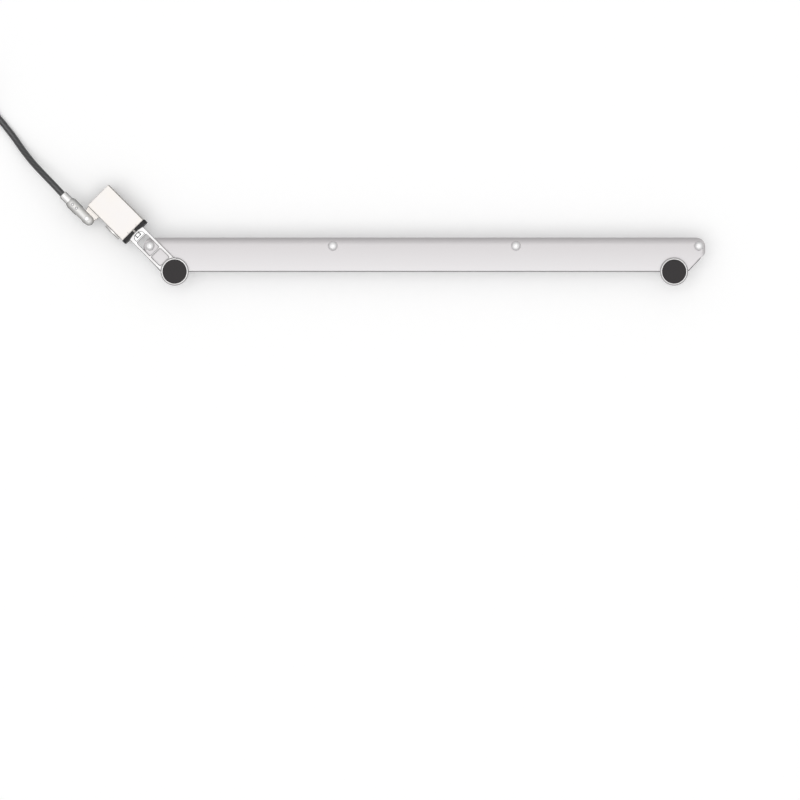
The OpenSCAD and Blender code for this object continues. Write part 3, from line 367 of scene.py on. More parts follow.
@dataclass(frozen=True)
class VinylSheath(Finish):
    """Clear-smoked vinyl over steel strands: a smooth skin with the strands' twist showing faintly.

    Attributes:
        strands: strands around the rope.
        twist_mm: length in which a strand goes once around.
    """

    strands: int = 6
    twist_mm: float = 24.0

    def pattern(self, tree: bpy.types.NodeTree, shader: bpy.types.Node) -> None:
        """Draw the strands from the angle and the length that the tube carries."""
        lay = add_node(tree, "ShaderNodeAttribute", attribute_name="lay")
        parts = add_node(tree, "ShaderNodeSeparateXYZ", links={0: lay.outputs["Vector"]})
        angle = add_node(tree, "ShaderNodeMath", links={0: parts.outputs[1], 1: parts.outputs[0]},
                         operation="ARCTAN2")
        around = add_node(tree, "ShaderNodeMath", {1: float(self.strands)},
                          {0: angle.outputs[0]}, operation="MULTIPLY")
        along = add_node(tree, "ShaderNodeMath",
                         {1: self.strands * 2 * math.pi / (self.twist_mm * MM)},
                         {0: parts.outputs[2], 2: around.outputs[0]}, operation="MULTIPLY_ADD")
        wave = add_node(tree, "ShaderNodeMath", links={0: along.outputs[0]}, operation="SINE")
        strand = add_node(tree, "ShaderNodeMapRange", {"From Min": -1.0, "From Max": 1.0},
                          {"Value": wave.outputs[0]})
        self.blend(tree, shader, strand.outputs[0], self.colour, "454546")
        self.emboss(tree, shader, strand.outputs[0], 0.05, 0.35)
        shader.inputs["Coat Weight"].default_value = 0.3
        shader.inputs["Coat Roughness"].default_value = 0.2


@dataclass(frozen=True)
class WovenStrap(Finish):
    """Woven nylon strap: short ribs across its length, from the piece's own map in metres."""

    rib_mm: float = 0.8

    def pattern(self, tree: bpy.types.NodeTree, shader: bpy.types.Node) -> None:
        """Add a plain weave of 0.8 mm ribs."""
        place = add_node(tree, "ShaderNodeUVMap", uv_map="strap_map").outputs[0]
        checks = add_node(tree, "ShaderNodeTexChecker", {"Scale": 1 / (self.rib_mm * MM)},
                          {"Vector": place})
        weave = add_node(tree, "ShaderNodeTexWave", {"Scale": 0.314 / (self.rib_mm * MM),
                                                     "Distortion": 0.4}, {"Vector": place})
        height = add_node(tree, "ShaderNodeMath", {1: 0.4},
                          {0: checks.outputs["Fac"], 2: weave.outputs["Fac"]},
                          operation="MULTIPLY_ADD")
        self.blend(tree, shader, weave.outputs["Fac"], self.colour, "454243")
        self.emboss(tree, shader, height.outputs[0], 0.1)


# The plate's colour carries painted shade, darker towards its rolled rear edge.
PLATE = AnodisedSheet("blasted_anodised_aluminium", "plate_finish", "dddbdc", 0.85, 0.5)
# Painted shade: a dark grey for the chamfer along the plate's upper outline, standing in for the
# shadow line at its edge.
PLATE_EDGE_PAINTED_SHADE = CastMetal("painted_shade_plate_edge", "plate_finish", "8a8889", 0.7, 0.45)
FRAME_PAINT = SprayedLacquer("silver_lacquer_on_zinc", "frame_finish", "dddcdc", 0.6, 0.4)
# Painted shade: a dark grey for the upper chamfers of the arm and the foot rings, standing in for
# their dark outlines.
LACQUER_EDGE_PAINTED_SHADE = CastMetal("painted_shade_lacquer_edge", "frame_finish", "8e8c8c", 0.6, 0.42)
PAD_RUBBER = MouldedPolymer("moulded_foot_rubber", "pad_rubber", "292627", 0.0, 0.8)
POWDER = PowderCoat("white_powder_coat", "head_finish", "fcf8f6", 0.0, 0.48)
# Painted shade: a grey for the rounding of the housing's upper edges, the nib and the lug's upper
# chamfer, wider on the side away from the key.
POWDER_EDGE_PAINTED_SHADE = CastMetal("painted_shade_powder_edge", "head_finish", "a29e9a", 0.2, 0.5)
# Painted shade: a near black for the walls of the two witness holes.
BORE_PAINTED_SHADE = CastMetal("painted_shade_bore", "head_finish", "3a3838", 0.3, 0.7)
NYLON = MouldedPolymer("black_moulded_nylon", "black_plastic", "0d0b0c", 0.0, 0.6, 0.2, 0.004, 0.02)
STRAP = WovenStrap("woven_nylon_strap", "tie_webbing", "2b2829", 0.0, 0.8)
BRASS = TurnedMetal("turned_brass", "brass", "c8ac66", 1.0, 0.28, Axis.V)
PLUG_FACE = TurnedMetal("nickelled_brass_plug", "plug_finish", "cfcac0", 1.0, 0.22, Axis.V)
RIM = TurnedMetal("bright_nickel_rim", "rim_finish", "f7f6f5", 0.35, 0.34, Axis.V)
# Painted shade on the ferrule's flanks, darker as a face turns from up.
FERRULE = PaintedShadePlating("swaged_nickel_ferrule", "nickel", "f1f0ef", 0.4, 0.42, "504f4e", 0.3, 0.85)
# Painted shade: a grey for the chamfers of the key cylinder's rim, standing in for its dark
# outline.
RIM_OUTLINE_PAINTED_SHADE = TurnedMetal("painted_shade_rim_edge", "rim_finish", "adabaa", 0.5, 0.4, Axis.V)
# Painted shade on the link's flanks, darker as a face turns from up.
NICKEL = PaintedShadePlating("barrel_plated_nickel", "nickel", "dcdbd9", 0.4, 0.45, "444342", 0.25, 0.9)
# Painted light: a near white for the faces of the slot's room, which lie in shade inside the arm.
SLOT_PAINTED_LIGHT = CastMetal("painted_light_slot", "frame_finish", "f4f4f4", 0.25, 0.4)
BAR_STEEL = CastMetal("polished_bar_steel", "steel", "f2f2f1", 0.5, 0.34)
# Painted shade on the screw and rivet domes' flanks, darker as a face turns from up.
SCREW_STEEL = PaintedShadePlating("tumbled_stainless_steel", "screw_steel", "f8f7f7", 0.35, 0.36,
                          "d2d1d2", 0.72, 0.985)
SLEEVE = CastMetal("pressed_aluminium", "sleeve_aluminium", "cacacc", 1.0, 0.36)
SHEATH = VinylSheath("smoked_vinyl_sheath", "sheath_vinyl", "373738", 0.0, 0.36)
STEEL = CastMetal("zinc_plated_steel", "steel", "c9cacb", 1.0, 0.3)


# ---- Meshes ----


def link_object(name: str, mesh: bpy.types.Mesh) -> bpy.types.Object:
    """Put a mesh into the scene as an object at the origin."""
    made = bpy.data.objects.new(name, mesh)
    bpy.context.scene.collection.objects.link(made)
    return made


def shell_mesh(name: str, rings: Sequence[Sequence[Vector]],
               closed: bool = False) -> bpy.types.Mesh:
    """Skin a row of rings with quads, and close both ends unless the row itself is closed.

    Args:
        name: the mesh's name.
        rings: rings of as many points each, in millimetres.
        closed: whether the last ring is joined to the first one.

    Returns:
        The mesh, in metres, with its faces outwards.
    """
    made = bmesh.new()
    loops = [[made.verts.new(point * MM) for point in ring] for ring in rings]
    sides = len(rings[0])
    for i in range(len(rings) if closed else len(rings) - 1):
        a, b = loops[i], loops[(i + 1) % len(loops)]
        for k in range(sides):
            made.faces.new((a[k], a[(k + 1) % sides], b[(k + 1) % sides], b[k]))
    if not closed:
        made.faces.new(loops[0])
        made.faces.new(loops[-1])
    bmesh.ops.recalc_face_normals(made, faces=made.faces)
    mesh = bpy.data.meshes.new(name)
    made.to_mesh(mesh)
    made.free()
    return mesh


def round_ring(radius: float, height: float, sides: int) -> list[Vector]:
    """Give the points of a level ring around Z."""
    turns = [2 * math.pi * k / sides for k in range(sides)]
    return [Vector((radius * math.cos(a), radius * math.sin(a), height)) for a in turns]


def lathe_mesh(name: str, profile: Sequence[tuple[float, float]],
               sides: int = 48) -> bpy.types.Mesh:
    """Turn a profile around Z.

    Args:
        name: the mesh's name.
        profile: radius and height of each corner, in millimetres, from the bottom to the top.
        sides: facets around the axis.

    Returns:
        The closed mesh, in metres.
    """
    return shell_mesh(name, [round_ring(r, z, sides) for r, z in profile])


def smoothed(mesh: bpy.types.Mesh, angle: float = 32.0) -> bpy.types.Mesh:
    """Shade a mesh smooth, but for edges that are sharper than an angle in degrees."""
    mesh.shade_smooth()
    mesh.set_sharp_from_angle(angle=math.radians(angle))
    return mesh


def plain_mesh(source: bpy.types.Object, name: str) -> bpy.types.Mesh:
    """Apply an object's modifiers and remove the object.

    Args:
        source: the object with live modifiers.
        name: the new mesh's name.

    Returns:
        The evaluated mesh.
    """
    bpy.context.view_layer.update()
    graph = bpy.context.evaluated_depsgraph_get()
    mesh = bpy.data.meshes.new_from_object(source.evaluated_get(graph),
                                           preserve_all_data_layers=True, depsgraph=graph)
    mesh.name = name
    source.modifiers.clear()
    bpy.data.objects.remove(source)
    return mesh


def dressed_mesh(node: str, round_mm: float, angle: float = 30.0, chamfer_mm: float = 0.0,
                 chamfered: Callable[[Vector, float], bool] | None = None,
                 spared: Callable[[Vector], bool] | None = None) -> bpy.types.Mesh:
    """Copy a CAD node's mesh, merge it and break its edges.

    Faces of the chamfer get material index 1, and all others 0.

    Args:
        node: the CAD node.
        round_mm: width of the rounding on most edges, in millimetres.
        angle: edges sharper than this, in degrees, are broken.
        chamfer_mm: width of the flat chamfer on chosen edges, in millimetres.
        chamfered: picks those edges by their middle, in millimetres, and by how far the flatter
            one of their two faces points up.
        spared: picks the edges that stay sharp, by their middle, in millimetres.

    Returns:
        The dressed mesh.
    """
    made = bmesh.new()
    made.from_mesh(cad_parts[node].data)
    bmesh.ops.remove_doubles(made, verts=made.verts, dist=0.002 * MM)
    bmesh.ops.dissolve_limit(made, angle_limit=math.radians(0.4), verts=made.verts,
                             edges=made.edges)
    limit = math.radians(angle)

    def middle(edge: bmesh.types.BMEdge) -> Vector:
        """Give an edge's middle, in millimetres."""
        return (edge.verts[0].co + edge.verts[1].co) / (2 * MM)

    def sharp_edges() -> list[bmesh.types.BMEdge]:
        """List the edges to break: those sharper than the limit, but for the spared ones."""
        return [e for e in made.edges if e.is_manifold and e.calc_face_angle(0.0) > limit
                and not (spared and spared(middle(e)))]

    top = max(vertex.co.z for vertex in made.verts)
    for face in made.faces:
        face.material_index = 0
    if chamfered:
        chosen = [e for e in sharp_edges()
                  if chamfered(middle(e), max(f.normal.z for f in e.link_faces))]
        cut = bmesh.ops.bevel(made, geom=chosen, offset=chamfer_mm * MM, offset_type="OFFSET",
                              segments=1, profile=0.5, affect="EDGES", clamp_overlap=False)
        for face in cut["faces"]:
            face.material_index = 1
    if round_mm:
        bmesh.ops.bevel(made, geom=sharp_edges(), offset=round_mm * MM, offset_type="OFFSET",
                        segments=2, profile=0.5, affect="EDGES", clamp_overlap=False)
    for vertex in made.verts:
        vertex.co.z = min(vertex.co.z, top)
    mesh = bpy.data.meshes.new(node + "_skin")
    made.to_mesh(mesh)
    made.free()
    smoothed(mesh, angle)
    source = link_object(node + "_source", mesh)
    weigh = source.modifiers.new("Even shading", "WEIGHTED_NORMAL")
    weigh.keep_sharp = True
    return plain_mesh(source, node + "_skin")


def grid_tree() -> bpy.types.NodeTree:
    """Build the tree that repeats one piece in a grid of two steps.

    Returns:
        The geometry tree, with named inputs for both counts and steps.
    """
    tree = bpy.data.node_groups.new("repeat_in_grid", "GeometryNodeTree")
    kinds = {"Piece": "NodeSocketGeometry", "First": "NodeSocketVector", "Count": "NodeSocketInt",
             "Step": "NodeSocketVector", "Rows": "NodeSocketInt", "Row Step": "NodeSocketVector",
             "Finish": "NodeSocketMaterial"}
    for name, kind in kinds.items():
        tree.interface.new_socket(name=name, in_out="INPUT", socket_type=kind)
    tree.interface.new_socket(name="Pieces", in_out="OUTPUT", socket_type="NodeSocketGeometry")
    given = add_node(tree, "NodeGroupInput").outputs
    row = add_node(tree, "GeometryNodeMeshLine",
                   links={"Count": given["Rows"], "Start Location": given["First"],
                          "Offset": given["Row Step"]})
    line = add_node(tree, "GeometryNodeMeshLine",
                    links={"Count": given["Count"], "Offset": given["Step"]})
    points = add_node(tree, "GeometryNodeInstanceOnPoints",
                      links={"Points": row.outputs[0], "Instance": line.outputs[0]})
    spots = add_node(tree, "GeometryNodeRealizeInstances", links={0: points.outputs[0]})
    copies = add_node(tree, "GeometryNodeInstanceOnPoints",
                      links={"Points": spots.outputs[0], "Instance": given["Piece"]})
    real = add_node(tree, "GeometryNodeRealizeInstances", links={0: copies.outputs[0]})
    finish = add_node(tree, "GeometryNodeSetMaterial",
                      links={"Geometry": real.outputs[0], "Material": given["Finish"]})
    add_node(tree, "NodeGroupOutput", links={0: finish.outputs[0]})
    return tree


def tube_tree() -> bpy.types.NodeTree:
    """Build the tree that sweeps a round section along a line of points.

    The tube carries "lay": the cosine and sine of the place around it, and the length along it.

    Returns:
        The geometry tree, with named inputs for radius and sides.
    """
    tree = bpy.data.node_groups.new("sweep_round_section", "GeometryNodeTree")
    kinds = {"Line": "NodeSocketGeometry", "Radius": "NodeSocketFloat", "Sides": "NodeSocketInt",
             "Finish": "NodeSocketMaterial"}
    for name, kind in kinds.items():
        tree.interface.new_socket(name=name, in_out="INPUT", socket_type=kind)
    tree.interface.new_socket(name="Tube", in_out="OUTPUT", socket_type="NodeSocketGeometry")
    given = add_node(tree, "NodeGroupInput").outputs
    line = add_node(tree, "GeometryNodeMeshToCurve", links={0: given["Line"]})
    length = add_node(tree, "GeometryNodeSplineParameter").outputs["Length"]
    along = add_node(tree, "GeometryNodeCaptureAttribute", links={0: line.outputs[0]})
    along.capture_items.new("FLOAT", "Length")
    tree.links.new(length, along.inputs["Length"])
    section = add_node(tree, "GeometryNodeCurvePrimitiveCircle",
                       links={"Resolution": given["Sides"], "Radius": given["Radius"]})
    share = add_node(tree, "GeometryNodeSplineParameter").outputs["Factor"]
    angle = add_node(tree, "ShaderNodeMath", {1: 2 * math.pi}, {0: share}, operation="MULTIPLY")
    cosine = add_node(tree, "ShaderNodeMath", links={0: angle.outputs[0]}, operation="COSINE")
    sine = add_node(tree, "ShaderNodeMath", links={0: angle.outputs[0]}, operation="SINE")
    around = add_node(tree, "ShaderNodeCombineXYZ",
                      links={"X": cosine.outputs[0], "Y": sine.outputs[0]})
    ring = add_node(tree, "GeometryNodeCaptureAttribute", links={0: section.outputs[0]})
    ring.capture_items.new("VECTOR", "Around")
    tree.links.new(around.outputs[0], ring.inputs["Around"])
    tube = add_node(tree, "GeometryNodeCurveToMesh", {"Fill Caps": True},
                    {"Curve": along.outputs[0], "Profile Curve": ring.outputs[0]})
    parts = add_node(tree, "ShaderNodeSeparateXYZ", links={0: ring.outputs["Around"]})
    lay = add_node(tree, "ShaderNodeCombineXYZ",
                   links={"X": parts.outputs[0], "Y": parts.outputs[1],
                          "Z": along.outputs["Length"]})
    store = add_node(tree, "GeometryNodeStoreNamedAttribute", {"Name": "lay"},
                     {"Geometry": tube.outputs[0], "Value": lay.outputs[0]},
                     data_type="FLOAT_VECTOR", domain="POINT")
    real = add_node(tree, "GeometryNodeRealizeInstances", links={0: store.outputs[0]})
    finish = add_node(tree, "GeometryNodeSetMaterial",
                      links={"Geometry": real.outputs[0], "Material": given["Finish"]})
    add_node(tree, "NodeGroupOutput", links={0: finish.outputs[0]})
    return tree


def grown_mesh(name: str, start: bpy.types.Mesh, tree: bpy.types.NodeTree,
               values: dict[str, Any]) -> bpy.types.Mesh:
    """Run a geometry tree on a mesh and give the result as a plain mesh.

    Args:
        name: the new mesh's name.
        start: the mesh that the tree gets.
        tree: the geometry tree.
        values: the tree's inputs by name.

    Returns:
        The grown mesh.
    """
    source = link_object(name + "_source", start)
    grow = source.modifiers.new("Grow", "NODES")
    grow.node_group = tree
    for item in tree.interface.items_tree:
        if item.item_type == "SOCKET" and item.in_out == "INPUT" and item.name in values:
            grow[item.identifier] = values[item.name]
    return plain_mesh(source, name)


def line_mesh(name: str, points: Sequence[Vector]) -> bpy.types.Mesh:
    """Join points, in millimetres, by edges into one open line."""
    mesh = bpy.data.meshes.new(name)
    edges = [(i, i + 1) for i in range(len(points) - 1)]
    mesh.from_pydata([point * MM for point in points], edges, [])
    return mesh


def smooth_line(points: Sequence[Vector], step: float, first: Vector | None = None,
                last: Vector | None = None) -> list[Vector]:
    """Lead a smooth line through points.

    Args:
        points: the points to pass, in millimetres.
        step: distance between the points of the line.
        first: direction at the first point, or None for the line's own.
        last: direction at the last point, or None for the line's own.

    Returns:
        Points about step apart, from the first point to the last one.
    """
    before = points[0] - first * 5 if first else points[0] * 2 - points[1]
    after = points[-1] + last * 5 if last else points[-1] * 2 - points[-2]
    chain = [before, *points, after]
    line: list[Vector] = []
    for a, b, c, d in zip(chain, chain[1:], chain[2:], chain[3:]):
        gaps = [max((q - p).length, 1e-6) ** 0.5 for p, q in ((a, b), (b, c), (c, d))]
        out = (b - a) / gaps[0] - (c - a) / (gaps[0] + gaps[1]) + (c - b) / gaps[1]
        into = (c - b) / gaps[1] - (d - b) / (gaps[1] + gaps[2]) + (d - c) / gaps[2]
        out, into = out * gaps[1], into * gaps[1]
        count = max(2, round((c - b).length / step))
        for i in range(count):
            t = i / count
            line.append(b * (2 * t**3 - 3 * t**2 + 1) + out * (t**3 - 2 * t**2 + t)
                        + c * (3 * t**2 - 2 * t**3) + into * (t**3 - t**2))
    return line + [points[-1]]


def line_length(points: Sequence[Vector]) -> float:
    """Measure a line, in its own unit."""
    return sum((b - a).length for a, b in zip(points, points[1:]))


# ---- Sub-assemblies ----


@dataclass
class SubAssembly:
    """A group of pieces that ride on one body.

    Attributes:
        body: the body that they ride on.
    """

    body: Body = Body.ROOT

    def build(self) -> None:
        """Build and dress the pieces."""
        raise NotImplementedError

    def keep(self, finish: Finish, *nodes: str) -> None:
        """Leave CAD nodes as they are and give them a finish."""
        for node in nodes:
            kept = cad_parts[node]
            if not kept.data.materials:
                kept.data.materials.append(None)
            for place in kept.material_slots:
                place.link = "OBJECT"
                place.material = finish.material()
            LOG.info("%s: CAD node with %s", node, finish.name)

    def put(self, name: str, mesh: bpy.types.Mesh, finish: Finish, *nodes: str,
            edge: Finish | None = None) -> bpy.types.Object:
        """Put a finished mesh on the body in place of CAD nodes.

        Args:
            name: the piece's name.
            mesh: its mesh, in the row frame.
            finish: its finish.
            nodes: the CAD nodes that it stands for.
            edge: the finish of the faces with material index 1.

        Returns:
            The piece.
        """
        places = [face.material_index for face in mesh.polygons] if edge else []
        mesh.materials.clear()
        mesh.materials.append(finish.material())
        if edge:
            mesh.materials.append(edge.material())
            mesh.polygons.foreach_set("material_index", places)
        piece = link_object(name, mesh)
        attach(piece, self.body.value)
        if nodes:
            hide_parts(*nodes)
        LOG.info("%s: %d faces, on %s", name, len(mesh.polygons), self.body.value)
        return piece

    def dress(self, node: str, finish: Finish, round_mm: float = 0.12, angle: float = 30.0,
              chamfer_mm: float = 0.0,
              chamfered: Callable[[Vector, float], bool] | None = None,
              spared: Callable[[Vector], bool] | None = None,
              edge: Finish | None = None) -> bpy.types.Object:
        """Put a copy of a CAD node with broken edges in its place.

        Args:
            node: the CAD node.
            finish: the copy's finish.
            round_mm: width of the rounding, in millimetres.
            angle: edges sharper than this, in degrees, are broken.
            chamfer_mm: width of the chamfer on chosen edges, in millimetres.
            chamfered: picks those edges, as dressed_mesh does.
            spared: picks the edges that stay sharp, as dressed_mesh does.
            edge: the chamfer's own finish.

        Returns:
            The piece.
        """
        mesh = dressed_mesh(node, round_mm, angle, chamfer_mm, chamfered, spared)
        return self.put(node + "_dressed", mesh, finish, node, edge=edge)

    def repeat(self, name: str, single: bpy.types.Mesh, finish: Finish, node: str, first: Vector,
               count: int, step: Vector, rows: int = 1, row_step: Vector = Vector()) -> None:
        """Repeat a small part in a grid, in place of a CAD node.

        Args:
            name: the piece's name.
            single: one part, in metres around its own origin.
            finish: its finish.
            node: the CAD node that the parts stand for.
            first: place of the first part, in millimetres.
            count: parts in a row.
            step: from one part to the next, in millimetres.
            rows: number of rows.
            row_step: from one row to the next, in millimetres.
        """
        mesh = grown_mesh(name, single, GRID, {
            "First": first * MM, "Count": count, "Step": step * MM, "Rows": rows,
            "Row Step": row_step * MM, "Finish": finish.material()})
        self.put(name, smoothed(mesh), finish, node)


GRID = grid_tree()
TUBE = tube_tree()


@dataclass
class SecurityCable(SubAssembly):
    """The sheathed steel cable with its strap, crimp sleeve and end loop, put away as a coil.

    Attributes:
        radius: the cable's radius over the sheath.
        sides: facets around the cable.
        start: where the cable leaves the ferrule.
        route: points from the ferrule to the coil.
        centre: middle of the coil.
        lift: how far the turns rise over the strap that lies under them.
        tail: points from the coil to the crimp sleeve.
    """

    body: Body = Body.LINK
    radius: float = 2.0
    sides: int = 16
    start: Vector = field(default_factory=lambda: lock_point(83.297, 15.35, -4.8))
    route: tuple[tuple[float, float, float], ...] = (
        (-230, 38, -5.4), (-236.8, 45, -7.4), (-243.5, 52.2, -10.6), (-249.8, 60.1, -13.6),
        (-255.4, 68, -15.4), (-261, 75.2, -16), (-266, 81.4, -16), (-269.7, 87.6, -16),
        (-272.5, 94.2, -16), (-274.9, 101.2, -16), (-277.3, 108, -16))
    centre: tuple[float, float] = (-307.0, 96.0)
    lift: float = 0.8
    tail: tuple[tuple[float, float, float], ...] = (
        (-297, 113.3, -8.1), (-302, 115.7, -7), (-307, 116.8, -5.6), (-314.5, 116.9, -4.5),
        (-322.7, 114.8, -4.1), (-331.2, 110, -4.2), (-337.4, 104, -5.2), (-341.7, 97.6, -7.4),
        (-344.4, 91.2, -10.4), (-345.8, 84.6, -13.2), (-346.1, 77.8, -15), (-346, 71, -15.6),
        (-346, 64, -15.4))
    leg_gap: float = 2.1
    sleeve_len: float = 13.0
    loop_r: float = 14.0
    loop_out: float = 34.0

    def coil_point(self, turn: float, radius: float, height: float) -> Vector:
        """Give a point of the coil, raised where the strap lies under it.

        Args:
            turn: angle around the coil's middle, in degrees.
            radius: distance from that middle.
            height: height of the cable's axis.

        Returns:
            The point, in millimetres.
        """
        away = abs((turn - 270 + 180) % 360 - 180)
        arc = radius * math.radians(away)
        height += self.lift * (1 - smooth_step((arc - 5.5) / 6))
        angle = math.radians(turn)
        return Vector((self.centre[0] + radius * math.cos(angle),
                       self.centre[1] + radius * math.sin(angle), height))

    def coil(self) -> list[Vector]:
        """Wind the three layers, from the outside in, out and in again.

        Returns:
            The coil's points, in millimetres.
        """
        stages = ((1440, 32, 16, -16, -16), (180, 16, 18, -16, -12.05),
                  (1080, 18, 30, -12.05, -12.05), (180, 30, 28, -12.05, -8.1),
                  (758, 28, 20, -8.1, -8.1))
        points: list[Vector] = []
        turn = 22.0
        for sweep, r0, r1, z0, z1 in stages:
            count = round(sweep / 5)
            climbing = z0 != z1
            for i in range(count):
                t = i / count
                radius = r0 + (r1 - r0) * (smooth_step((t - 0.4) / 0.6) if climbing else t)
                height = z0 + (z1 - z0) * (smooth_step(t / 0.7) if climbing else 0)
                points.append(self.coil_point(turn + sweep * t, radius, height))
            turn += sweep
        return points

    def path(self) -> list[Vector]:
        """Give the whole centreline, from the ferrule to the crimp sleeve."""
        coil = self.coil()
        lead = smooth_line([self.start, *map(Vector, self.route)], 2.0, Axis.U.vector,
                           (coil[2] - coil[0]).normalized())
        tail = smooth_line([Vector(p) for p in self.tail], 2.0, (coil[-1] - coil[-3]).normalized(),
                           Vector((0, -1, 0)))
        return lead + coil[1:] + tail

    def loop_line(self) -> list[Vector]:
        """Lead the end loop out of the crimp sleeve, around and back into it."""
        sleeve = Vector(self.tail[-1]) - Vector((self.leg_gap, self.sleeve_len, 0))
        middle = sleeve - Vector((0, self.loop_out, 0))
        middle.z = FLOOR_Z + self.radius
        lean = math.atan2(self.loop_out, self.leg_gap) - math.acos(
            self.loop_r / math.hypot(self.loop_out, self.leg_gap))
        count = 24
        half = [sleeve + Vector((self.leg_gap, 2, 0)), sleeve + Vector((self.leg_gap, -2.5, 0))]
        for i in range(count + 1):
            angle = lean - (lean + math.pi / 2) * i / count
            half.append(middle + Vector((math.cos(angle), math.sin(angle), 0)) * self.loop_r)
        mirror = [Vector((2 * middle.x - p.x, p.y, p.z)) for p in reversed(half[:-1])]
        return smooth_line(half + mirror, 1.2, Vector((0, -1, 0)), Vector((0, 1, 0)))

    def tube(self, name: str, points: Sequence[Vector]) -> bpy.types.Mesh:
        """Sweep the cable's section along points in millimetres."""
        mesh = grown_mesh(name, line_mesh(name, points), TUBE, {
            "Radius": self.radius * MM, "Sides": self.sides, "Finish": SHEATH.material()})
        return smoothed(mesh, 50)

    def sleeve_mesh(self) -> bpy.types.Mesh:
        """Press the oval crimp sleeve, with three crimps across it."""
        half_w, half_h, corner = 2 * self.radius + 0.6, self.radius + 0.6, 2.6
        middle = Vector(self.tail[-1]) - Vector((self.leg_gap, 0, 0))
        rings = []
        inner = [0.4 + 12.2 * i / 48 for i in range(1, 48)]
        stations = [0.0, 0.15, 0.4, *inner, 12.6, 12.85, 13.0]
        for y in stations:
            edge = 0.3 * max(0.0, 1 - min(y, self.sleeve_len - y) / 0.4) ** 2
            crimp = sum(math.exp(-((y - c) / 0.75) ** 2) for c in (3.2, 6.5, 9.8))
            ring = []
            for k in range(40):
                angle = 2 * math.pi * k / 40
                x, z = math.cos(angle), math.sin(angle)
                x = math.copysign(abs(x) ** (2 / corner), x) * (half_w - edge - 0.1 * crimp)
                z = math.copysign(abs(z) ** (2 / corner), z) * (half_h - edge - 0.42 * crimp)
                ring.append(middle + Vector((x, -y, z)))
            rings.append(ring)
        return smoothed(shell_mesh("crimp_sleeve", rings), 50)

    def strap_mesh(self) -> bpy.types.Mesh:
        """Lay the strap around the bundle of turns, with its end lapped over the top."""
        inner = 12.777
        corners = [(inner, -17.2), (34.4, -17.2), (34.4, -13.6), (32.6, -9.2), (28.6, -5.3),
                   (18.4, -5.3), (14.2, -9.8), (inner, -13.6)]
        thickness, half_w = 0.8, 5.0
        round_trip = self.rounded_loop([Vector((r, z, 0)) for r, z in corners], 1.6)
        rings = []
        count = len(round_trip)

        def outward(i: int) -> Vector:
            """Give the direction out of the bundle at one of the points."""
            along = (round_trip[(i + 1) % count] - round_trip[i - 1]).normalized()
            return Vector((along.y, -along.x, 0))

        for i, point in enumerate(round_trip):
            out = outward(i)
            rings.append([(point + out * o, w) for o, w in (
                (0.0, -half_w), (0.0, half_w), (thickness * 0.6, half_w), (thickness, half_w - 0.3),
                (thickness, 0.3 - half_w), (thickness * 0.6, -half_w))])
        lap_from = max(range(count), key=lambda i: round_trip[i].y * 10 + round_trip[i].x)
        lap = []
        for n in range(9):
            i = (lap_from + n) % count
            point, out = round_trip[i], outward(i)
            rise = thickness - 0.05
            thick = thickness * (0.35 if n in (0, 8) else 0.9)
            narrow = 0.8 if n in (0, 8) else 0.35
            lap.append([(point + out * o, w) for o, w in (
                (rise, narrow - half_w), (rise, half_w - narrow), (rise + thick, half_w - narrow),
                (rise + thick, narrow - half_w))])
        made = bmesh.new()
        layer = made.loops.layers.uv.new("strap_map")
        self.skin(made, layer, rings, True)
        self.skin(made, layer, lap, False)
        bmesh.ops.recalc_face_normals(made, faces=made.faces)
        mesh = bpy.data.meshes.new("cable_strap")
        made.to_mesh(mesh)
        made.free()
        return smoothed(mesh, 40)

    def rounded_loop(self, corners: list[Vector], radius: float) -> list[Vector]:
        """Round the corners of a closed outline.

        Args:
            corners: the outline's corners.
            radius: how far from each corner its rounding starts.

        Returns:
            The outline's points, evenly spread.
        """
        points: list[Vector] = []
        count = len(corners)
        for i, corner in enumerate(corners):
            before, after = corners[i - 1], corners[(i + 1) % count]
            p = corner + (before - corner).normalized() * min(radius, (before - corner).length / 2)
            q = corner + (after - corner).normalized() * min(radius, (after - corner).length / 2)
            for k in range(5):
                t = k / 4
                points.append(p * (1 - t) ** 2 + corner * 2 * t * (1 - t) + q * t * t)
            reach = (corners[(i + 1) % count] - corner).length - 2 * radius
            steps = int(reach / 1.5)
            end = after + (corner - after).normalized() * min(radius, (after - corner).length / 2)
            points.extend(q + (end - q) * k / (steps + 1) for k in range(1, steps + 1))
        clean = [points[0]]
        for point in points[1:]:
            if (point - clean[-1]).length > 0.05:
                clean.append(point)
        return clean

    def skin(self, made: bmesh.types.BMesh, layer: Any,
             rings: Sequence[Sequence[tuple[Vector, float]]], closed: bool) -> None:
        """Skin the strap's rings and map them, in metres along and across it.

        Args:
            made: the mesh under construction.
            layer: its UV layer.
            rings: per ring, points of the bundle's section with their place across the strap.
            closed: whether the strap runs into itself.
        """
        def place(point: Vector, across: float) -> Vector:
            """Stand a point of the section at the strap's place on the coil."""
            return Vector((self.centre[0] + across, self.centre[1] - point.x, point.y)) * MM

        loops = [[made.verts.new(place(p, w)) for p, w in ring] for ring in rings]
        run = 0.0
        for i in range(len(rings) if closed else len(rings) - 1):
            j = (i + 1) % len(rings)
            length = (rings[j][0][0] - rings[i][0][0]).length * MM
            sides = len(rings[i])
            for k in range(sides):
                m = (k + 1) % sides
                face = made.faces.new((loops[i][k], loops[i][m], loops[j][m], loops[j][k]))
                spots = ((run, rings[i][k][1]), (run, rings[i][m][1]),
                         (run + length, rings[j][m][1]), (run + length, rings[j][k][1]))
                for corner, (along, across) in zip(face.loops, spots):
                    corner[layer].uv = (along, across * MM)
            run += length
        if not closed:
            made.faces.new(loops[0])
            made.faces.new(loops[-1])

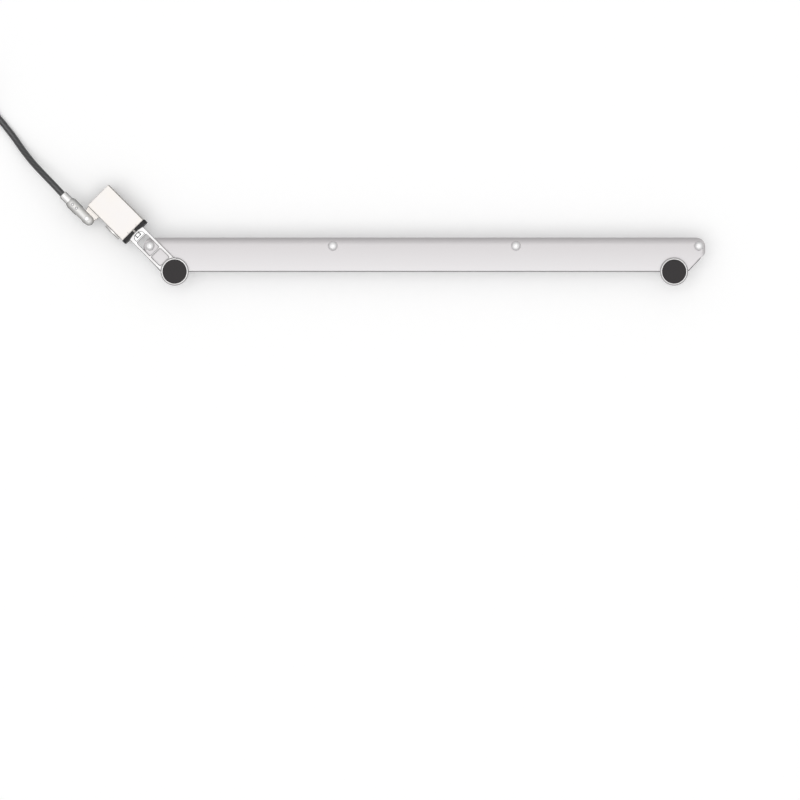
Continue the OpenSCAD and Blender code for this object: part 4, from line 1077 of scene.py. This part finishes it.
    def build(self) -> None:
        points = self.path()
        cable = self.put("cable_run", self.tube("cable_run", points), SHEATH,
                         "security_cable", "cable_coil", "cable_tail")
        loop = self.put("cable_end_loop", self.tube("cable_end_loop", self.loop_line()), SHEATH,
                        "end_loop")
        sleeve = self.put("crimp_sleeve", self.sleeve_mesh(), SLEEVE, "end_sleeve")
        strap = self.put("cable_strap", self.strap_mesh(), STRAP, "coil_tie")
        LOG.info("cable: %.0f mm", line_length(points))


@dataclass
class Bracket(SubAssembly):
    """The bracket plate with its screws, feet and foot rivets."""

    screw_pitch: float = 113.5
    screw_seat: float = 0.85
    head_r: float = 2.7
    head_h: float = 1.3
    socket_r: float = 0.9
    socket_depth: float = 0.8
    shank_r: float = 1.25
    screw_len: float = 4.0
    neck_r: float = 1.8
    # Width of the chamfer on the plate's outline, which gets painted shade.
    shade_chamfer: float = 0.6
    chamfer: float = 0.4
    slant_end: float = -3.0
    end_roll_x: float = 170.8
    tenon_u: float = 17.1
    tenon_room: float = 1.6
    ring_bore: float = 7.9

    def screw_mesh(self) -> bpy.types.Mesh:
        """Turn a domed screw with a hexagon socket and a chamfered shank end."""
        sides = 48
        dome = 4.0
        low = self.screw_seat
        top = low + self.head_h

        def turned(radius: float, height: float) -> list[Vector]:
            """Give a round ring."""
            return round_ring(radius, height, sides)

        def hexagon(radius: float, height: float) -> list[Vector]:
            """Give a ring on a hexagon."""
            ring = []
            for k in range(sides):
                angle = 2 * math.pi * k / sides
                flat = math.cos(angle % (math.pi / 3) - math.pi / 6)
                reach = radius * math.cos(math.pi / 6) / flat
                ring.append(Vector((reach * math.cos(angle), reach * math.sin(angle), height)))
            return ring

        rings = [turned(0.2, -self.screw_len), turned(self.shank_r - 0.3, -self.screw_len),
                 turned(self.shank_r, 0.3 - self.screw_len), turned(self.shank_r, 0),
                 turned(self.neck_r, 0), turned(self.neck_r, low), turned(self.head_r - 0.1, low),
                 turned(self.head_r, low + 0.1)]
        for i in range(10):
            radius = self.head_r - (self.head_r - 1.15) * i / 9
            rings.append(turned(radius, top - dome + math.sqrt(dome**2 - radius**2)))
        rings += [hexagon(self.socket_r + 0.08, top - 0.12), hexagon(self.socket_r, top - 0.22),
                  hexagon(self.socket_r, top - self.socket_depth),
                  turned(0.15, top - self.socket_depth)]
        return shell_mesh("case_screw", rings)

    def foot_rivet_mesh(self) -> bpy.types.Mesh:
        """Turn a foot rivet: shank, countersunk head and a faint dimple from the press."""
        return lathe_mesh("foot_rivet", [(0.3, 0.12), (1.2, 0.1), (1.48, 0.0), (1.48, 1.4),
                                         (2.88, 1.98), (2.5, 2.0), (0.8, 2.0), (0.4, 1.85)])

    def build(self) -> None:
        """Dress the plate, the screws and the feet."""
        def outline(middle: Vector, up: float) -> bool:
            """Pick the sheet's upper outline at the front and the slants, and no hole."""
            first = -1.5 * self.screw_pitch
            near = first + round((middle.x - first) / self.screw_pitch) * self.screw_pitch
            screw = math.hypot(middle.x - near, middle.y) < self.head_r + 0.5
            foot = math.hypot(abs(middle.x) + FOOT.x, middle.y - FOOT.y) < 3
            return up > 0.5 and middle.y < self.slant_end and not screw and not foot

        def spared(middle: Vector) -> bool:
            """Pick the edges of the rolled ends and of the slot for the arm's tenon."""
            along, across = lock_place(middle)
            return abs(middle.x) > self.end_roll_x or (
                abs(along - self.tenon_u) < self.tenon_room and abs(across) < 2 * self.tenon_room)

        # The chamfer on the plate's outline gets the dark painted shade colour.
        self.dress("bracket_plate", PLATE, 0.12, 30.0, self.shade_chamfer, outline, spared, PLATE_EDGE_PAINTED_SHADE)
        self.repeat("case_screw_row", self.screw_mesh(), SCREW_STEEL, "case_screws",
                    Vector((-1.5 * self.screw_pitch, 0, 0)), 4, Vector((self.screw_pitch, 0, 0)))
        self.repeat("foot_rivet_pair", self.foot_rivet_mesh(), STEEL, "foot_rivets",
                    FOOT.copy(), 2, Vector((-2 * FOOT.x, 0, 0)))

        def outside_bore(middle: Vector, up: float) -> bool:
            """Pick the ring's upper outline, and not its bore."""
            return up > 0.5 and math.hypot(middle.x + FOOT.x, middle.y - FOOT.y) > self.ring_bore

        # The ring's outer chamfer gets the painted shade colour.
        self.dress("foot_ring", FRAME_PAINT, 0.08, 30.0, self.chamfer, outside_bore,
                   edge=LACQUER_EDGE_PAINTED_SHADE)
        for side in ("left", "right"):
            self.dress("foot_pad_" + side, PAD_RUBBER, 0.0)


@dataclass
class LockArm(SubAssembly):
    """The lock arm with its security slot, the T-bar in it and the nose collar.

    Attributes:
        chamfer: width of the chamfer around the upper side.
        top_z: height above which an edge counts as upper.
        seat_r: radius around the foot within which no edge is chamfered.
        recess_u: start of the recess over the security slot's room, along the arm.
        wall_u: end of that recess and room.
        room_r: half width that takes in both.
        recess_z: height between the recess's floor and the arm's upper side.
        bar: start and end of the bar between the two windows, along the arm.
        collar_middle: middle of the collar's thickness, along the arm.
        collar_swell: how much thicker the collar is at its two ends.
        collar_waist: half width within which it keeps its thickness.
    """

    chamfer: float = 0.35
    top_z: float = 2.6
    seat_r: float = 7.9
    recess_u: float = 29.8
    wall_u: float = 33.2
    room_r: float = 3.6
    recess_z: float = 2.6
    bar: tuple[float, float] = (16.4, 17.8)
    collar_middle: float = 35.6
    collar_swell: float = 0.9
    collar_waist: float = 5.3

    def in_room(self, point: Vector) -> bool:
        """Tell whether a point, in millimetres, is in the recess or the room under it."""
        along, across = lock_place(point)
        return self.recess_u < along < self.wall_u and abs(across) < self.room_r

    def swell_collar(self, mesh: bpy.types.Mesh) -> None:
        """Thicken the collar towards both ends, beside the arm."""
        for vertex in mesh.vertices:
            along, across = lock_place(Vector(vertex.co) / MM)
            if along < self.collar_middle:
                share = smooth_step(abs(across) - self.collar_waist)
                vertex.co -= Axis.U.vector * self.collar_swell * share * MM

    def build(self) -> None:
        """Dress the arm, the T-bar and the collar."""
        def upper(middle: Vector, up: float) -> bool:
            """Pick the edges around the arm's upper side, but for the foot's seat."""
            seat = math.hypot(middle.x - FOOT.x, middle.y - FOOT.y) < self.seat_r
            return up > 0.5 and middle.z > self.top_z and not seat

        def low_in_room(middle: Vector) -> bool:
            """Pick the edges of the slot's room under the recess's own rim."""
            return self.in_room(middle) and middle.z < self.recess_z

        # The arm's upper chamfers get the painted shade colour.
        arm = self.dress("lock_arm", FRAME_PAINT, 0.1, 30.0, self.chamfer, upper, low_in_room,
                         LACQUER_EDGE_PAINTED_SHADE).data
        # The faces of the slot's room under the recess get painted light, near white.
        arm.materials.append(SLOT_PAINTED_LIGHT.material())
        for face in arm.polygons:
            centre = Vector(face.center) / MM
            if low_in_room(centre) and not face.material_index:
                face.material_index = 2
            # The bar between the windows keeps the plain lacquer, without painted shade on its
            # edges.
            elif self.bar[0] < lock_place(centre)[0] < self.bar[1]:
                face.material_index = 0
        self.dress("t_bar", BAR_STEEL, 0.1)
        self.swell_collar(self.dress("nose_collar", NYLON, 0.12).data)
        self.keep(STEEL, "t_bar_pin")


@dataclass
class LockHead(SubAssembly):
    """The white lock housing with its cover, key cylinder and lug.

    Attributes:
        rivet_r: radius of the cover rivets' heads.
        first_rivet: the cover rivet nearest to the nose, on the side away from the key.
        rivet_step: distance of the rivets along u.
        rivet_spread: distance of the rivets along v.
        rim_chamfer: width of the chamfer on the key cylinder's rim and on the lug.
        lug_z: middle of the lug's height.
        nib_u: end of the housing's nib between the collar's halves.
        witness: the two small drilled holes near the nose, by their place along u, their
            distance from the middle and the radius that takes them in.
        edge_z: height above which a face belongs to the rounding of the upper edges.
        shade_lean_far: how far a face of that rounding leans away from the key before it gets
            painted shade.
        shade_lean_near: the same towards the key.
    """

    bottom: float = -12.2
    rivet_r: float = 1.28
    first_rivet: tuple[float, float] = (39.347, -6.0)
    rivet_step: float = 24.9
    rivet_spread: float = 12.0
    rim_chamfer: float = 0.3
    lug_z: float = -4.8
    nib_u: float = 36.3
    witness: tuple[float, float, float] = (37.397, 3.5, 0.36)
    edge_z: float = 1.0
    shade_lean_far: float = 0.3
    shade_lean_near: float = 0.75

    def cover_rivet_mesh(self) -> bpy.types.Mesh:
        """Turn a flush rivet with a softly dished head."""
        low = self.bottom
        return lathe_mesh("cover_rivet", [(0.2, low + 0.12), (0.7, low + 0.06), (1.05, low),
                                          (self.rivet_r, low + 0.1), (self.rivet_r, low + 0.6),
                                          (0.88, low + 0.6), (0.88, low + 3.9),
                                          (0.78, low + 4.0)], 32)

    def build(self) -> None:
        """Dress the housing and what is fixed in it."""
        housing = self.dress("lock_housing", POWDER, 0.0).data
        housing.materials.append(BORE_PAINTED_SHADE.material())
        housing.materials.append(POWDER_EDGE_PAINTED_SHADE.material())
        at_u, spread, reach = self.witness
        holes = [lock_point(at_u, side * spread, 0.0).xy for side in (-1, 1)]
        for face in housing.polygons:
            centre = Vector(face.center) / MM
            across = Vector(face.normal).dot(Axis.V.vector)
            # The nib and the rounding of the upper edges get grey painted shade, more of it on the
            # side away from the key.
            shaded_nib = lock_place(centre)[0] < self.nib_u
            shaded_edge = centre.z > self.edge_z and not -self.shade_lean_far < across < self.shade_lean_near
            in_hole = min((centre.xy - hole).length for hole in holes) < reach
            # The walls of the witness holes get the near black painted shade.
            if in_hole and abs(face.normal.z) < 0.99:
                face.material_index = 1
            elif shaded_nib or shaded_edge:
                face.material_index = 2
        self.dress("base_cover", POWDER, 0.12)
        u, v = self.first_rivet
        self.repeat("cover_rivet_set", self.cover_rivet_mesh(), STEEL, "cover_rivets",
                    lock_point(u, v, 0), 2, Axis.U.vector * self.rivet_step, 2,
                    Axis.V.vector * self.rivet_spread)
        # The rim's chamfers get the grey painted shade.
        self.dress("cylinder_rim", RIM, 0.0, 30.0, self.rim_chamfer, lambda p, up: True,
                   edge=RIM_OUTLINE_PAINTED_SHADE)
        self.dress("cylinder_shell", BRASS, 0.06)
        # The lug's upper chamfer gets the grey painted shade.
        self.dress("swivel_lug", POWDER, 0.0, 30.0, self.rim_chamfer,
                   lambda p, up: up > 0.5 and p.z > self.lug_z, edge=POWDER_EDGE_PAINTED_SHADE)
        self.keep(STEEL, "cylinder_pin", "lug_pin", "carrier_spring")


@dataclass
class KeyPlug(SubAssembly):
    """The key plug with the cam that it turns."""

    body: Body = Body.KEY_PLUG

    def build(self) -> None:
        """Dress the plug and the cam."""
        self.dress("key_plug", PLUG_FACE, 0.06)
        self.keep(STEEL, "drive_cam", "cam_screw")


@dataclass
class LockingGear(SubAssembly):
    """The pin carrier with its two locking pins."""

    body: Body = Body.PIN_CARRIER

    def build(self) -> None:
        """Dress the carrier and its pins."""
        self.dress("pin_carrier", STEEL, 0.08)
        self.keep(STEEL, "locking_pins")


@dataclass
class Wafers(SubAssembly):
    """The wafers in the key plug."""

    body: Body = Body.WAFERS

    def build(self) -> None:
        """Give the wafers their finish."""
        self.keep(BRASS, "wafers")


@dataclass
class SwivelLink(SubAssembly):
    """The swivel link with its rivets and the cable's ferrule."""

    body: Body = Body.LINK
    pivot: tuple[float, float, float] = (61.897, 15.35, -4.8)
    clamp_first: float = 9.1
    clamp_gap: float = 3.4

    def dome_mesh(self, name: str, shank: float, reach: float) -> bpy.types.Mesh:
        """Turn an upright rivet with a domed head at each end.

        Args:
            name: the mesh's name.
            shank: its radius, in millimetres.
            reach: height of the domes' tops above the middle.

        Returns:
            The rivet, around its own middle.
        """
        dome = [(shank * math.sin(a), reach - 0.45 * (1 - math.cos(a)) / (1 - math.cos(1.4)))
                for a in (0.15, 0.4, 0.7, 1.0, 1.25, 1.4)]
        upper = sorted(dome, key=lambda p: -p[0])
        lower = [(r, -z) for r, z in reversed(upper)]
        return lathe_mesh(name, lower + upper, 32)

    def build(self) -> None:
        """Dress the link, its rivets and the ferrule."""
        u, v, z = self.pivot
        self.dress("swivel_link", NICKEL, 0.12)
        self.keep(SCREW_STEEL, "pivot_rivet")
        self.repeat("clamp_rivet_pair", self.dome_mesh("clamp_rivet", 0.78, 3.6), SCREW_STEEL,
                    "clamp_rivets", lock_point(u + self.clamp_first, v, z), 2,
                    Axis.U.vector * self.clamp_gap)
        self.dress("ferrule", FERRULE, 0.08)


# ---- Stage ----


@dataclass(frozen=True)
class Studio:
    """Camera, floor, world and one soft sun.

    Attributes:
        aim: the point under the camera, in millimetres.
        distance: the camera's height above the plate's laptop side.
        view_width: width of the view at that height.
        zenith: the sky's strength straight above.
        horizon: the sky's strength at the horizon.
        sun: strength of the sun.
        sun_spread: the sun's angle across, in degrees.
        sun_from: direction towards the sun.
        floor_bounce: the floor's colour for the light that it throws back.
        floor_glow: what lifts the seen floor to a paper white.
    """

    aim: tuple[float, float] = (-15.1, -95.5)
    distance: float = 4000.0
    view_width: float = 496.0
    zenith: float = 0.96
    horizon: float = 0.18
    sun: float = 0.84
    sun_spread: float = 55.0
    sun_from: tuple[float, float, float] = (-0.12, -0.13, 1.0)
    floor_bounce: str = "868686"
    floor_glow: float = 0.05

    def camera(self) -> None:
        """Set the camera, which looks straight down."""
        data = bpy.data.cameras.new("camera")
        data.sensor_fit = "HORIZONTAL"
        data.sensor_width = 36.0
        data.lens = 36.0 * self.distance / self.view_width
        data.clip_end = 20.0
        camera = bpy.data.objects.new("camera", data)
        camera.location = Vector((*self.aim, self.distance)) * MM
        bpy.context.scene.collection.objects.link(camera)
        bpy.context.scene.camera = camera

    def floor(self) -> None:
        """Lay the pale floor that the loose cable lies on."""
        half, z = 3.0, FLOOR_Z * MM
        mesh = bpy.data.meshes.new("floor")
        corners = [(-half, -half, z), (half, -half, z), (half, half, z), (-half, half, z)]
        mesh.from_pydata(corners, [], [(0, 1, 2, 3)])
        floor = link_object("floor", mesh)
        made = bpy.data.materials.new("pale_floor")
        made.use_nodes = True
        tree = made.node_tree
        shader = tree.nodes["Principled BSDF"]
        rays = add_node(tree, "ShaderNodeLightPath").outputs
        looks = add_node(tree, "ShaderNodeMath",
                         links={0: rays["Is Camera Ray"], 1: rays["Is Glossy Ray"]},
                         operation="MAXIMUM")
        seen = add_node(tree, "ShaderNodeMath",
                        links={0: looks.outputs[0], 1: rays["Is Transmission Ray"]},
                        operation="MAXIMUM")
        pick = add_node(tree, "ShaderNodeMix", {6: linear(self.floor_bounce), 7: linear("fefefe")},
                        {0: seen.outputs[0]}, data_type="RGBA")
        glow = add_node(tree, "ShaderNodeMath", {1: self.floor_glow}, {0: seen.outputs[0]},
                        operation="MULTIPLY")
        tree.links.new(pick.outputs[2], shader.inputs["Base Color"])
        tree.links.new(glow.outputs[0], shader.inputs["Emission Strength"])
        shader.inputs["Emission Color"].default_value = (1.0, 1.0, 1.0, 1.0)
        shader.inputs["Roughness"].default_value = 0.9
        shader.inputs["Specular IOR Level"].default_value = 0.1
        mesh.materials.append(made)

    def sky(self) -> None:
        """Light the scene from a sky that is brightest straight above."""
        world = bpy.data.worlds.new("studio")
        bpy.context.scene.world = world
        world.use_nodes = True
        tree = world.node_tree
        ground = tree.nodes["Background"]
        ground.inputs["Color"].default_value = (1.0, 1.0, 1.0, 1.0)
        direction = add_node(tree, "ShaderNodeTexCoord").outputs["Generated"]
        parts = add_node(tree, "ShaderNodeSeparateXYZ", links={0: direction})
        level = add_node(tree, "ShaderNodeMapRange",
                         {"From Min": 0.0, "From Max": 1.0, "To Min": self.horizon,
                          "To Max": self.zenith}, {"Value": parts.outputs[2]})
        seen = add_node(tree, "ShaderNodeLightPath").outputs["Is Camera Ray"]
        pick = add_node(tree, "ShaderNodeMix", {3: 0.9}, {0: seen, 2: level.outputs[0]})
        tree.links.new(pick.outputs[0], ground.inputs["Strength"])

    def sunlight(self) -> None:
        """Add the soft sun from high at the front left."""
        data = bpy.data.lights.new("soft_sun", "SUN")
        data.energy = self.sun
        data.angle = math.radians(self.sun_spread)
        lamp = bpy.data.objects.new("soft_sun", data)
        lamp.rotation_mode = "QUATERNION"
        lamp.rotation_quaternion = Vector(self.sun_from).to_track_quat("Z", "Y")
        bpy.context.scene.collection.objects.link(lamp)

    def build(self) -> None:
        """Set the colour view, the floor and the light."""
        bpy.context.scene.view_settings.view_transform = "Standard"
        self.floor()
        self.sky()
        self.sunlight()


def main() -> None:
    """Build the camera and the cable first, then everything else."""
    logging.basicConfig(level=logging.INFO, format="%(name)s %(message)s")
    studio = Studio()
    studio.camera()
    for group in (SecurityCable(), Bracket(), LockArm(), LockHead(), KeyPlug(), LockingGear(),
                  Wafers(), SwivelLink()):
        LOG.info("-- %s", type(group).__name__)
        group.build()
    studio.build()


if __name__ == "__main__":
    main()
